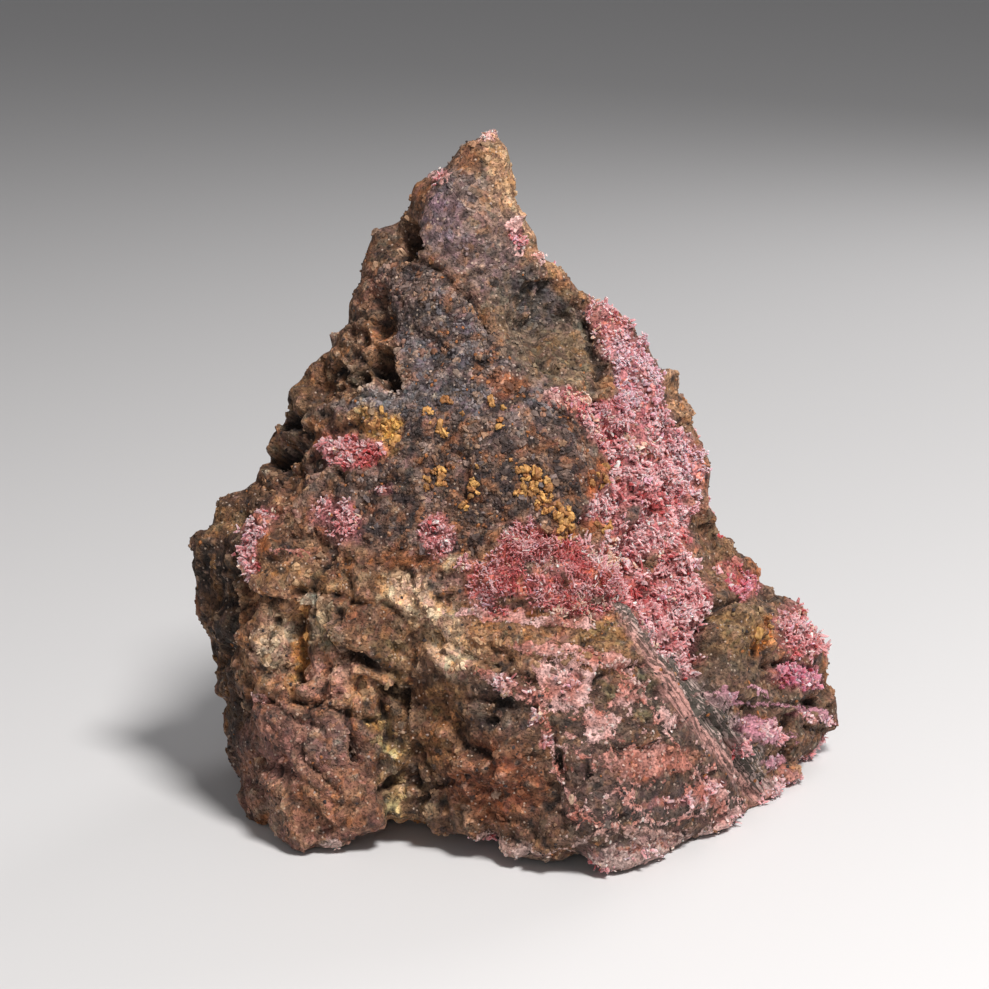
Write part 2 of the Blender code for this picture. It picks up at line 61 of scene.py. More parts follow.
def gnoise(p, size, seed=0):
    """Smooth gradient noise of points in mm, about -1 to 1, for features of that size."""
    q = p / size
    f = np.floor(q).astype(np.int64)
    t = q - f
    s = t * t * t * (t * (t * 6 - 15) + 10)
    out = 0.0
    for dx in (0, 1):
        wx = s[:, 0] if dx else 1 - s[:, 0]
        for dy in (0, 1):
            wy = s[:, 1] if dy else 1 - s[:, 1]
            for dz in (0, 1):
                wz = s[:, 2] if dz else 1 - s[:, 2]
                g = _GRAD[_hash(f[:, 0] + dx, f[:, 1] + dy, f[:, 2] + dz, seed) & 255]
                d = (g[:, 0] * (t[:, 0] - dx) + g[:, 1] * (t[:, 1] - dy) + g[:, 2] * (t[:, 2] - dz))
                out = out + wx * wy * wz * d
    return out * 1.6


def fbm(p, size, octaves=4, seed=0, gain=0.5):
    total, amp, norm = 0.0, 1.0, 0.0
    for o in range(octaves):
        total = total + amp * gnoise(p, size / 2**o, seed + 17 * o)
        norm += amp
        amp *= gain
    return total / norm


def cells(p, size, seed=0):
    """Nearest cell of a jittered grid: distance to it, to the runner-up, the offset from it and its own number."""
    q = p / size
    f = np.floor(q).astype(np.int64)
    n = len(q)
    f1 = np.full(n, 9.0)
    f2 = np.full(n, 9.0)
    off = np.zeros((n, 3))
    ident = np.zeros(n, np.int64)
    for dx in (-1, 0, 1):
        for dy in (-1, 0, 1):
            for dz in (-1, 0, 1):
                c = f + (dx, dy, dz)
                h = _hash(c[:, 0], c[:, 1], c[:, 2], seed)
                jit = np.stack(((h & 1023), (h >> 10) & 1023, (h >> 20) & 1023), 1) / 1023.0
                d = q - (c + jit)
                r = np.sqrt((d * d).sum(1))
                near = r < f1
                f2 = np.where(near, f1, np.minimum(f2, r))
                f1 = np.where(near, r, f1)
                off[near] = d[near]
                ident[near] = h[near]
    return f1, f2, off, ident


def of_cell(ident, salt):
    """A steady random number in 0..1 for each cell."""
    return (_hash(ident, ident >> 7, ident >> 3, salt) & 65535) / 65535.0


def facets(p, size, seed):
    """Broken, flat-faced relief: every cell is a little plane of its own, about -0.5 to 0.5."""
    f1, f2, off, ident = cells(p, size, seed)
    g = _GRAD[ident & 255]
    v = (off * g).sum(1) + 0.6 * (of_cell(ident, 5) - 0.5)
    return v


def plates(p, size, seed, tilt=0.35):
    """Broken slabs: every cell stands at a height of its own and leans a little, about -0.5 to 0.5."""
    _, _, off, ident = cells(p, size, seed)
    return (of_cell(ident, 6) - 0.5) + tilt * (off * _GRAD[ident & 255]).sum(1)


def step(a, b, x):
    t = np.clip((x - a) / (b - a), 0.0, 1.0)
    return t * t * (3 - 2 * t)


def rgb(r, g, b):
    c = np.array((r, g, b)) / 255.0
    return np.where(c <= 0.04045, c / 12.92, ((c + 0.055) / 1.055) ** 2.4)


# ------------------------------------------------------------------------------------------- shapes on the drawing
def seg_distance(u, v, pts, closed=False):
    best = np.full(len(u), 1e9)
    ends = list(zip(pts[:-1], pts[1:])) + ([(pts[-1], pts[0])] if closed else [])
    for (x0, y0), (x1, y1) in ends:
        dx, dy = x1 - x0, y1 - y0
        t = np.clip(((u - x0) * dx + (v - y0) * dy) / max(dx * dx + dy * dy, 1e-6), 0, 1)
        best = np.minimum(best, np.hypot(u - x0 - t * dx, v - y0 - t * dy))
    return best


def area(u, v, pts, soft=6.0):
    """1 inside the outline, 0 outside, with a soft edge."""
    hit = np.zeros(len(u), bool)
    for (x0, y0), (x1, y1) in zip(pts, pts[1:] + pts[:1]):
        if y0 == y1:
            continue
        cross = ((y0 > v) != (y1 > v)) & (u < x0 + (v - y0) / (y1 - y0) * (x1 - x0))
        hit ^= cross
    d = seg_distance(u, v, pts, True)
    return step(-soft, soft, np.where(hit, d, -d))


def oval(u, v, cu, cv, ru, rv, turn=0.0, soft=0.35):
    a = math.radians(turn)
    du, dv = u - cu, v - cv
    x = (du * math.cos(a) + dv * math.sin(a)) / ru
    y = (-du * math.sin(a) + dv * math.cos(a)) / rv
    return 1 - step(1 - soft, 1 + soft, np.hypot(x, y))


# ------------------------------------------------------------------------------------------- skin of the rock
def fine_skin(source, step_mm):
    """A close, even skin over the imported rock, in mm."""
    data = source.data.copy()
    work = bpy.data.objects.new("work", data)
    bpy.context.scene.collection.objects.link(work)
    b = bmesh.new()
    b.from_mesh(data)
    bmesh.ops.transform(b, matrix=Matrix.Scale(1 / MM, 4) @ source.matrix_world, verts=b.verts)
    bmesh.ops.remove_doubles(b, verts=b.verts, dist=1e-4)
    b.to_mesh(data)
    b.free()
    sub = work.modifiers.new("round", "SUBSURF")
    sub.levels = sub.render_levels = 1
    rem = work.modifiers.new("skin", "REMESH")
    rem.mode = "VOXEL"
    rem.voxel_size = step_mm
    graph = bpy.context.evaluated_depsgraph_get()
    out = bmesh.new()
    out.from_mesh(work.evaluated_get(graph).to_mesh())
    work.modifiers.remove(rem)
    graph = bpy.context.evaluated_depsgraph_get()
    smooth = bmesh.new()
    smooth.from_mesh(work.evaluated_get(graph).to_mesh())
    tree = BVHTree.FromBMesh(smooth)
    for vert in out.verts:
        vert.co = tree.find_nearest(vert.co)[0]
    out.normal_update()
    # the front gets a skin twice as fine
    eye = Vector(EYE)
    near = [f for f in out.faces if f.normal.dot((eye - f.calc_center_median()).normalized()) > -0.16]
    closer = list({e for f in near for e in f.edges})
    bmesh.ops.subdivide_edges(out, edges=closer, cuts=1, use_grid_fill=True)
    bmesh.ops.triangulate(out, faces=[f for f in out.faces if len(f.verts) > 4])
    for vert in out.verts:
        vert.co = tree.find_nearest(vert.co)[0]
    smooth.free()
    bpy.data.objects.remove(work)
    for loose in [v for v in out.verts if not v.link_faces]:
        out.verts.remove(loose)
    out.normal_update()
    mesh = bpy.data.meshes.new("rock_skin")
    out.to_mesh(mesh)
    out.free()
    return mesh


def read(mesh):
    n = len(mesh.vertices)
    p = np.empty(n * 3, np.float32)
    mesh.vertices.foreach_get("co", p)
    q = np.empty(n * 3, np.float32)
    mesh.vertices.foreach_get("normal", q)
    return p.reshape(-1, 3).astype(float), q.reshape(-1, 3).astype(float)


def neighbours(mesh):
    e = np.empty(len(mesh.edges) * 2, np.int32)
    mesh.edges.foreach_get("vertices", e)
    return e.reshape(-1, 2)


def even_out(values, edges, rounds):
    n = len(values)
    flat = values.reshape(n, -1)
    count = np.bincount(edges.ravel(), minlength=n)[:, None]
    for _ in range(rounds):
        total = np.zeros_like(flat)
        for c in range(flat.shape[1]):
            total[:, c] = np.bincount(edges[:, 0], flat[edges[:, 1], c], n) + np.bincount(
                edges[:, 1], flat[edges[:, 0], c], n
            )
        flat = 0.5 * flat + 0.5 * total / count
    return flat.reshape(values.shape)


TURN = np.array(Matrix.Rotation(0.6, 3, (0.3, 0.8, 0.5)))
# Features of the face, listed on the drawing.
GRANULAR = [(376, 280), (400, 262), (430, 262), (462, 290), (488, 330), (520, 380), (548, 398), (575, 425), (590, 455),
            (588, 490), (575, 515), (555, 530), (520, 520), (495, 545), (470, 560), (430, 552), (380, 545), (330, 540),
            (330, 505), (352, 470), (392, 455), (396, 425), (345, 405), (352, 392), (405, 392), (404, 360), (392, 330),
            (380, 310)]
SUMMIT = [(418, 196), (440, 180), (470, 172), (496, 185), (505, 215), (520, 250), (500, 290), (480, 300), (455, 275),
          (425, 258), (422, 228)]
RECESS = [(497, 275), (540, 268), (566, 285), (584, 310), (600, 350), (604, 390), (560, 396), (520, 384), (500, 340),
          (486, 305)]
TROUGH = [(590, 297), (600, 300), (612, 316), (640, 338), (656, 362), (655, 384), (660, 404), (668, 422), (686, 438),
          (696, 452), (700, 475), (702, 492), (698, 508), (690, 524), (682, 540), (680, 556), (688, 568), (702, 582),
          (712, 596), (704, 612), (696, 630), (700, 652), (702, 672), (684, 668), (660, 645), (640, 612), (622, 588),
          (606, 562), (600, 542), (616, 532), (612, 518), (590, 516), (584, 506), (602, 494), (604, 468), (606, 455),
          (596, 444), (584, 432), (566, 410), (548, 400), (566, 394), (604, 404), (618, 396), (616, 376), (602, 352),
          (594, 322)]
CENTRAL = [(471, 609), (468, 596), (474, 574), (487, 563), (499, 552), (500, 538), (513, 524), (530, 519), (545, 528),
           (567, 539), (585, 538), (601, 556), (615, 580), (626, 602), (607, 614), (567, 614), (529, 611), (495, 615)]
FOOT = [(245, 720), (262, 704), (300, 700), (345, 712), (372, 724), (384, 760), (388, 820), (350, 850), (300, 858),
        (262, 830), (236, 800)]
BLOCK = [(240, 590), (262, 566), (330, 560), (400, 575), (430, 600), (424, 660), (410, 700), (372, 722), (300, 700),
         (258, 704), (246, 650)]
LEFTFACE = [(186, 560), (215, 540), (240, 560), (248, 600), (250, 700), (246, 760), (240, 805), (225, 740), (205, 640)]
SHOULDER = [(200, 540), (222, 500), (262, 482), (275, 510), (262, 545), (240, 560), (205, 552)]
BAND = [(410, 600), (440, 590), (480, 612), (520, 618), (570, 620), (622, 612), (650, 640), (645, 672), (610, 676),
        (570, 664), (530, 668), (490, 664), (450, 660), (412, 650)]
SLOPE = [(420, 655), (470, 668), (520, 672), (560, 700), (566, 760), (562, 850), (500, 842), (440, 826), (410, 815),
         (410, 740), (404, 690)]
FACET = [(550, 665), (610, 680), (650, 672), (664, 690), (700, 720), (736, 770), (752, 806), (690, 842), (640, 868),
         (600, 872), (560, 856), (566, 760), (552, 710)]
STRIP = [(606, 588), (636, 608), (662, 636), (682, 660), (716, 692), (742, 720), (762, 750), (778, 788), (756, 806),
         (728, 776), (702, 744), (676, 712), (650, 676), (628, 640)]
LOBE = [(700, 600), (730, 590), (765, 594), (800, 612), (824, 640), (836, 690), (830, 735), (808, 756), (780, 770),
        (760, 790), (740, 745), (706, 690), (698, 650), (694, 622)]
GROOVE = [(372, 640), (400, 640), (418, 700), (425, 760), (452, 826), (390, 822), (372, 780), (386, 720), (384, 680)]
RIM = [(655, 372), (676, 384), (694, 404), (706, 436), (716, 470), (720, 500), (708, 520), (700, 508), (703, 490),
       (700, 470), (694, 448), (672, 426), (660, 404), (652, 384)]

CREST = [(602, 566), (620, 590), (632, 612), (644, 640), (662, 664), (694, 690), (722, 716), (742, 746), (762, 786)]

# line, width, depth in mm: cracks and grooves cut into the face
CRACKS = [
    ([(240, 560), (231, 588), (237, 622), (232, 660)], 4.5, 1.3),
    ([(349, 712), (352, 735), (358, 762)], 4.0, 1.5),
    ([(300, 700), (311, 716), (303, 742), (306, 762), (322, 776), (336, 792)], 2.6, 0.7),
    ([(262, 703), (300, 701), (326, 706), (345, 714), (372, 724)], 3.5, 0.9),
    ([(298, 596), (294, 630), (300, 664), (296, 692)], 6.0, 1.4),
    ([(318, 590), (352, 600), (390, 606), (420, 622)], 3.5, 0.7),
    ([(268, 590), (276, 620), (268, 655), (278, 690)], 3.0, 0.6),
    ([(330, 640), (352, 652), (372, 668), (396, 672)], 4.0, 0.8),
    ([(384, 700), (386, 740), (380, 780), (392, 820)], 4.5, 1.0),
    ([(420, 258), (440, 273), (462, 289), (478, 306), (489, 332)], 4.5, 1.1),
    ([(306, 440), (292, 452), (276, 466)], 5.0, 1.6),
    ([(404, 392), (378, 398), (354, 396)], 2.5, 0.4),
    ([(470, 616), (500, 620), (530, 618)], 2.6, 0.3),
    ([(591, 535), (604, 566), (626, 594), (642, 624), (660, 656), (694, 690), (724, 724), (748, 770)], 3.2, 1.1),
    ([(268, 700), (300, 722), (326, 726)], 3.0, 0.6),
    ([(252, 760), (290, 772), (330, 800), (352, 806)], 2.6, 0.5),
    ([(320, 655), (330, 672), (322, 690)], 3.0, 0.6),
    ([(346, 575), (352, 590), (348, 606)], 2.4, 0.5),
    ([(392, 570), (398, 590), (408, 600)], 3.0, 0.6),
    ([(415, 745), (432, 770), (440, 800), (452, 824)], 3.0, 0.8),
    ([(612, 751), (632, 747), (652, 748)], 2.2, 0.5),
    ([(700, 660), (697, 632), (706, 615), (724, 606), (745, 606)], 4.0, 1.3),
    ([(550, 738), (556, 752), (561, 772)], 3.0, 0.9),
    ([(432, 632), (462, 652), (492, 668), (530, 682)], 3.0, 0.6),
    ([(500, 650), (520, 672), (548, 690), (560, 716)], 2.4, 0.4),
    ([(512, 170), (500, 200), (506, 230), (520, 256)], 2.6, 0.4),
    ([(446, 186), (438, 214), (444, 244)], 2.6, 0.4),
    ([(585, 322), (592, 350), (600, 384)], 5.0, 1.0),
    ([(262, 455), (275, 466), (296, 474)], 4.0, 0.9),
    ([(322, 362), (330, 384), (318, 402)], 3.0, 0.8),
    ([(758, 668), (782, 664), (806, 668), (826, 676)], 3.6, 0.9),
    ([(740, 700), (768, 706), (800, 700), (828, 706)], 2.8, 0.7),
    ([(724, 728), (756, 730), (790, 724), (830, 732)], 2.6, 0.6),
]
# centre, radii, turn, depth in mm: pockets
POCKETS = [
    (489, 131, 7, 9, 0, -1.0),
    (366, 378, 13, 9, -25, 3.8), (382, 362, 14, 11, -30, 3.6), (392, 380, 10, 9, 0, 2.6), (350, 386, 10, 6, -20, 2.0),
    (386, 326, 9, 14, 20, 1.3), (360, 338, 12, 8, 30, 1.2), (330, 396, 10, 12, 0, 0.8), (382, 300, 8, 12, 10, 1.2),
    (252, 520, 10, 7, 0, 0.9), (238, 590, 5, 26, 5, 1.2), (345, 560, 8, 6, 0, 0.7), (300, 590, 8, 6, 0, 1.4), (303, 424, 13, 7, -35, 2.3), (414, 244, 8, 18, 8, 2.2),
    (362, 661, 13, 6, 15, 1.4), (408, 703, 6, 14, 0, 1.5), (392, 690, 6, 9, 0, 1.2), (503, 638, 4, 4, 0, 1.0),
    (505, 700, 8, 6, 20, 0.9), (490, 721, 7, 6, 0, 0.9), (548, 290, 20, 8, 15, 0.3), (520, 310, 10, 16, 0, 0.3),
    (628, 515, 8, 9, 0, -0.9), (604, 690, 11, 8, 30, -0.5), (650, 680, 10, 8, 30, -0.5), (640, 715, 8, 6, 0, -0.5),
    (635, 346, 16, 8, 30, 0.7), (655, 495, 10, 8, 0, 0.7), (614, 466, 7, 7, 0, 0.7), (632, 570, 8, 6, 0, 0.6),
    (660, 580, 7, 6, 0, 0.6), (526, 560, 8, 5, 0, 0.5), (730, 632, 24, 22, 0, -1.2), (448, 786, 9, 12, 0, 0.6),
    (405, 766, 8, 12, 10, -0.5), (270, 646, 12, 20, 0, -0.7), (420, 800, 7, 6, 0, 0.9), (214, 600, 9, 20, 5, 0.8),
    (388, 754, 10, 9, 0, -0.7), (410, 792, 9, 8, 30, -0.7), (430, 806, 8, 7, 0, -0.5), (392, 782, 5, 7, 0, 0.9),
    (418, 778, 4, 8, 10, 1.0), (354, 752, 3, 11, 6, 1.6), (384, 678, 9, 7, 20, -0.8), (362, 684, 7, 8, 0, 0.7),
    (288, 460, 17, 6, -48, 1.9), (300, 396, 10, 12, 10, -1.0), (338, 372, 9, 7, -30, 1.5), (756, 722, 12, 6, 20, 0.6), (712, 648, 6, 14, 10, 0.6),
]


# line, width, height in mm: places at the outline that stand out a little more
SWELLS = [
    ([(512, 150), (522, 190), (536, 228), (556, 272)], 14, 0.75), ([(432, 176), (420, 196), (412, 222)], 10, 0.6),
    ([(200, 540), (190, 560), (186, 590)], 14, 0.7), ([(284, 452), (276, 470)], 10, 0.7),
    ([(716, 520), (738, 548), (760, 580)], 16, 0.8), ([(744, 826), (790, 796), (826, 764)], 14, 0.8),
    ([(694, 400), (712, 440), (718, 474)], 14, 0.7), ([(612, 300), (642, 336)], 12, 0.6),
    ([(382, 226), (366, 262), (350, 300)], 12, 0.7), ([(332, 346), (308, 374), (296, 400)], 12, -0.5),
    ([(786, 598), (818, 624), (834, 660)], 12, -0.5), ([(470, 130), (476, 142)], 7, -0.6), 
]


def relief(p, n, u, v, front, close):
    """How far the skin stands out, in mm, at every point; close is 1 where the skin is fine enough for small relief."""
    small = 0.35 + 0.65 * close
    warp_u = u + 5.0 * gnoise(p, 2.4, 41) + 2.2 * gnoise(p, 0.9, 42)
    warp_v = v + 5.0 * gnoise(p, 2.4, 43) + 2.2 * gnoise(p, 0.9, 44)
    granular = area(warp_u, warp_v, GRANULAR, 10) * front
    trough = area(warp_u, warp_v, TROUGH, 8) * front
    summit = area(warp_u, warp_v, SUMMIT, 8) * front
    block = np.maximum(area(warp_u, warp_v, BLOCK, 8), 0.6 * area(warp_u, warp_v, LEFTFACE, 8)) * front
    foot = area(warp_u, warp_v, FOOT, 8) * front
    strip = area(warp_u, warp_v, STRIP, 8) * front
    facet = area(warp_u, warp_v, FACET, 8) * front
    calm = np.clip(0.6 * granular + 0.45 * summit + 0.30 * foot + 0.45 * facet + 0.5 * strip, 0, 0.75)
    plate = np.clip(foot + 0.5 * block, 0, 1)
    lobe = area(warp_u, warp_v, LOBE, 10) * front
    # the beds of the rock dip a little; the broken faces step along them
    bed = p @ np.array((0.18, -0.10, 0.98))
    ledge = bed + 1.3 * gnoise(p, 7.0, 3) + 0.35 * gnoise(p, 1.8, 4)
    saw = (ledge / 2.9) % 1.0
    ledges = (saw - 0.5) * step(-0.1, 0.5, gnoise(p, 9.0, 6))
    rough = 0.25 + 0.75 * step(-0.25, 0.35, gnoise(p, 5.0, 27))
    d = 1.3 * facets(p + 0.35 * fbm(p, 3.0, 2, 8)[:, None], 6.2, 21) * (1 - calm)
    d += 0.62 * facets(p + 0.3 * fbm(p, 2.0, 2, 9)[:, None], 2.9, 22) * (1 - 0.85 * calm) * (1 - 0.8 * plate)
    d += 0.55 * plates(p + 0.25 * fbm(p, 1.6, 2, 16)[:, None], 2.0, 34) * (1 - 0.7 * calm) * (1 - 0.85 * plate)
    d += 0.24 * small * rough * facets(p + 0.15 * gnoise(p, 0.8, 10)[:, None], 1.5, 23) * (1 - 0.5 * calm) * (1 - 0.8 * plate)
    d += 0.12 * close * rough * facets(p, 0.8, 26) * (1 - 0.7 * plate)
    d += foot * 0.85 * plates(p @ TURN + 0.3 * fbm(p, 3.0, 2, 14)[:, None], 5.2, 25, 0.5)
    d += foot * 0.30 * plates(p + 0.2 * fbm(p, 1.5, 2, 15)[:, None], 2.1, 29, 0.6)
    # upright slabs in the block on the front left
    slab = p / np.array((1.0, 1.0, 2.4)) + 0.22 * fbm(p, 2.5, 2, 12)[:, None]
    d += block * 1.15 * plates(slab, 2.7, 24)
    leaf = area(warp_u, warp_v, LEFTFACE, 8) * front
    d += leaf * 0.7 * plates(p / np.array((0.55, 0.9, 3.0)) + 0.2 * gnoise(p, 1.5, 19)[:, None], 1.5, 35)
    d += block * 0.45 * plates(p / np.array((1.0, 1.0, 1.9)) + 0.15 * gnoise(p, 1.2, 13)[:, None], 1.25, 28)
    d += 0.50 * ledges * (1 - calm) * (1 - strip) * (1 - block) * (1 - foot) * (1 - facet) * (1 - lobe)
    d += 0.20 * fbm(p, 3.4, 3, 31) * (1 - 0.4 * plate)
    d += 0.08 * close * fbm(p, 0.95, 2, 33)
    f1, _, _, ident = cells(p, 1.0, 51)
    d += granular * 0.22 * (0.5 - f1) * (0.3 + of_cell(ident, 8))
    f1, _, _, ident = cells(p, 2.2, 53)
    d += granular * 0.35 * (0.45 - f1) * of_cell(ident, 7)
    # fine open cracks that run everywhere
    line = np.abs(gnoise(p + 0.7 * gnoise(p, 2.0, 61)[:, None], 6.0, 62))
    d -= 0.50 * np.exp(-((line / 0.035) ** 2)) * (1 - 0.8 * granular) * (1 - 0.8 * facet) * step(0.0, 0.4, gnoise(p, 5.0, 63) + 0.2)
    # the druse floor is knobbly
    knob, _, _, ident = cells(p + 0.3 * gnoise(p, 1.1, 72)[:, None], 2.6, 71)
    knobs, _, _, _ = cells(p, 1.15, 73)
    druse = np.maximum(trough * step(375, 440, v), area(warp_u, warp_v, CENTRAL, 5) * front)
    d += druse * (2.0 * (0.45 - knob) * (0.4 + of_cell(ident, 11)) + 0.55 * (0.5 - knobs))
    # slickenside lines along the ridge
    along = np.array((0.62, 0.785))
    across = (u * along[1] - v * along[0] + 3.0 * gnoise(p, 6.0, 84)) / 10
    run = (u * along[0] + v * along[1]) / 10
    comb = np.stack((across / 0.8, run / 8.0, np.zeros_like(run)), 1)
    d += strip * 0.34 * gnoise(comb, 1.0, 81) + facet * 0.06 * gnoise(comb, 1.2, 82)
    # the crest stands up, and the trough beside it drops away sharply
    right_of = ((u - 632) * 0.856 - (v - 614) * 0.52) > 0
    near = seg_distance(warp_u, warp_v, CREST)
    d += front * np.where(right_of, -1.3 * np.exp(-((near / 26) ** 2)) * step(1.0, 9.0, near), 0.5 * np.exp(-((near / 22) ** 2)))
    wu = u + 1.6 * gnoise(p, 0.9, 45) + 3.0 * gnoise(p, 2.6, 46)
    wv = v + 1.6 * gnoise(p, 0.9, 47) + 3.0 * gnoise(p, 2.6, 48)
    for pts, width, depth in CRACKS:
        d -= front * depth * np.exp(-((seg_distance(wu, wv, pts) / width) ** 2))
    d -= np.average(d, weights=0.2 + front)
    d *= 0.45 + 0.55 * step(225, 300, v)
    for pts, width, height in SWELLS:
        d += close * height * np.exp(-((seg_distance(u, v, pts) / width) ** 2))
    pu = u + 3.5 * gnoise(p, 1.5, 241) + 3.0 * facets(p, 1.3, 243)
    pv = v + 3.5 * gnoise(p, 1.5, 242) + 3.0 * facets(p, 1.3, 244)
    for cu, cv, ru, rv, turn, depth in POCKETS:
        d -= front * depth * oval(pu, pv, cu, cv, ru, rv, turn, 0.4)
    return d + 0.12


def pink_of(p, u, v, front, seen_back):
    """Where erythrite grows, 0 to 1, and how deep (1) or pale (0) its colour is."""
    wu = u + 6.0 * gnoise(p, 1.9, 91) + 4.0 * gnoise(p, 0.8, 92)
    wv = v + 6.0 * gnoise(p, 1.9, 93) + 4.0 * gnoise(p, 0.8, 94)
    n1 = gnoise(p, 1.3, 95)
    n2 = gnoise(p, 3.1, 96)
    grow = np.zeros(len(u))
    deep = 0.35 + 0.3 * n2

    def put(mask, amount, tone=None):
        nonlocal grow, deep
        grow = np.maximum(grow, mask * amount)
        if tone is not None:
            deep = deep + (tone + 0.25 * n1 - deep) * mask

    put(area(wu, wv, TROUGH, 6), 1.0, 0.45)
    put(oval(wu, wv, 652, 480, 44, 66, -20), 0.0, 0.28)
    put(oval(wu, wv, 626, 365, 30, 34, 25), 0.0, 0.05)
    put(oval(wu, wv, 690, 462, 16, 34, 0), 0.0, 0.1)
    for cu, cv, ru, rv, tone in ((658, 502, 24, 15, 0.85), (655, 582, 8, 9, 1.0), (638, 588, 9, 7, 0.95), (618, 406, 8, 10, 0.85),
                                 (614, 464, 7, 7, 0.85), (672, 532, 12, 8, 0.7), (606, 420, 10, 8, 0.6), (690, 600, 8, 8, 0.8)):
        put(oval(wu, wv, cu, cv, ru, rv), 0.0, tone)
    put(area(wu, wv, CENTRAL, 5), 1.0, 0.75)
    put(oval(wu, wv, 548, 566, 14, 10, 0), 0.0, 0.3)
    put(oval(wu, wv, 590, 592, 22, 9, 25), 0.0, 0.35)
    put(oval(wu, wv, 486, 604, 14, 7, 0), 0.0, 0.3)
    for cu, cv, ru, rv, turn, amount, tone in (
        (348, 452, 30, 16, 5, 1.0, 0.75), (372, 455, 16, 12, 0, 0.9, 0.9), (336, 520, 26, 20, 20, 0.9, 0.45),
        (266, 528, 20, 12, -50, 0.8, 0.4), (254, 560, 10, 20, 10, 0.75, 0.45), (438, 538, 18, 22, 0, 0.8, 0.5),
        (385, 490, 10, 7, 0, 0.7, 0.4), (470, 566, 9, 9, 0, 0.8, 0.6),
        (441, 176, 6, 5, 0, 0.5, 0.5), (514, 240, 6, 7, 0, 0.5, 0.3), (596, 308, 8, 12, 0, 0.9, 0.15), (565, 684, 20, 12, 30, 0.5, 0.2),
        (704, 790, 14, 10, -30, 0.55, 0.35), (800, 632, 26, 26, 30, 0.85, 0.6), (797, 678, 22, 10, 5, 0.8, 0.95),
        (784, 786, 28, 11, -40, 0.6, 0.2), (762, 730, 20, 9, 25, 0.6, 0.35), (742, 746, 10, 10, 0, 0.6, 0.8),
        (742, 586, 16, 12, 10, 0.8, 0.85), (728, 566, 8, 8, 40, 0.6, 0.7), (640, 850, 30, 6, -14, 0.5, 0.1),
        (600, 868, 16, 7, 0, 0.6, 0.2), (534, 715, 7, 8, 0, 0.8, 0.1),
        (546, 741, 6, 6, 0, 0.8, 0.05), (512, 686, 34, 4, 25, 0.5, 0.15), (664, 800, 30, 5, -10, 0.5, 0.2),
        (810, 715, 22, 4, 15, 0.6, 0.35), (738, 815, 26, 7, -14, 0.5, 0.15), (560, 640, 12, 6, 0, 0.3, 0.3),
    ):
        put(oval(wu, wv, cu, cv, ru, rv, turn), amount, tone)
    for cu, cv, ru, rv, turn in ((513, 601, 17, 10, 10), (527, 569, 9, 8, 0), (628, 517, 8, 11, 0), (652, 562, 9, 8, 0),
                                 (596, 600, 8, 6, 0), (664, 452, 6, 5, 0), (690, 500, 7, 6, 0)):
        grow *= 1 - 0.9 * oval(wu, wv, cu, cv, ru, rv, turn)
    grow *= front
    # on the sides and the back, where nothing is known, a few small patches carry on from the right flank
    back = step(0.15, 0.5, gnoise(p, 11.0, 97) + 0.012 * (p[:, 0] - 8) + 0.25 * n1) * seen_back
    grow = np.maximum(grow, 0.85 * back)
    return grow, np.clip(deep, 0, 1)


# thin crusts of pale erythrite: centre, radii, turn, fullness
CRUSTS = [
    (562, 684, 32, 24, 20, 1.0), (600, 660, 46, 13, 14, 0.85), (626, 690, 15, 24, -10, 0.8), (598, 724, 20, 20, 30, 0.9),
    (642, 760, 50, 17, 3, 0.82), (622, 796, 11, 17, 20, 0.85), (700, 796, 21, 14, -35, 1.0), (728, 806, 18, 8, -20, 1.0),
    (722, 700, 12, 10, 30, 1.0), (760, 730, 26, 13, 20, 1.0), (742, 747, 13, 13, 0, 1.0), (776, 762, 15, 7, -10, 0.9),
    (790, 788, 38, 13, -38, 1.1), (600, 864, 30, 9, 0, 1.0), (652, 852, 46, 9, -16, 0.95), (712, 828, 36, 7, -22, 1.0),
    (486, 140, 10, 8, 0, 0.7), (441, 177, 12, 8, 0, 0.8), (511, 224, 8, 12, 0, 0.8), (516, 248, 11, 10, 0, 0.8),
    (533, 262, 9, 6, 0, 0.8), (498, 842, 48, 6, 14, 1.0), (500, 616, 46, 6, 2, 1.0), (510, 690, 34, 6, 25, 0.75), (548, 650, 44, 8, 8, 0.7), (652, 646, 11, 26, -30, 0.8),
    (560, 404, 20, 8, 20, 0.9), (586, 426, 8, 12, -30, 0.8), (334, 843, 14, 5, 0, 0.9), (262, 700, 10, 5, 0, 0.5),
    (300, 556, 30, 8, 0, 0.55), (796, 676, 22, 9, 5, 0.8), (754, 690, 16, 6, 20, 0.7), (812, 712, 20, 5, 15, 0.8),
    (668, 720, 12, 20, -35, 0.7), (470, 668, 20, 4, 10, 0.5), (576, 812, 12, 8, 30, 0.6), (560, 622, 60, 9, 4, 0.75),
]
VEINS = [
    ([(552, 742), (556, 775), (576, 800), (598, 822), (618, 827), (650, 830), (680, 836)], 4.0),
    ([(604, 826), (612, 846), (606, 862)], 3.2), ([(480, 668), (512, 682), (545, 700), (552, 740)], 3.4),
    ([(604, 822), (640, 842), (672, 846)], 3.0), ([(706, 690), (740, 704), (786, 704), (832, 722)], 3.0),
    ([(690, 770), (712, 800), (742, 818)], 3.4), ([(560, 690), (590, 712), (606, 744), (640, 770)], 2.6),
    ([(630, 668), (640, 700), (664, 730), (684, 764)], 2.8), ([(540, 850), (580, 840), (606, 824)], 2.6),
    ([(702, 812), (660, 822), (628, 820)], 2.6), ([(540, 720), (546, 742), (566, 748), (564, 772), (550, 774)], 3.0),
]


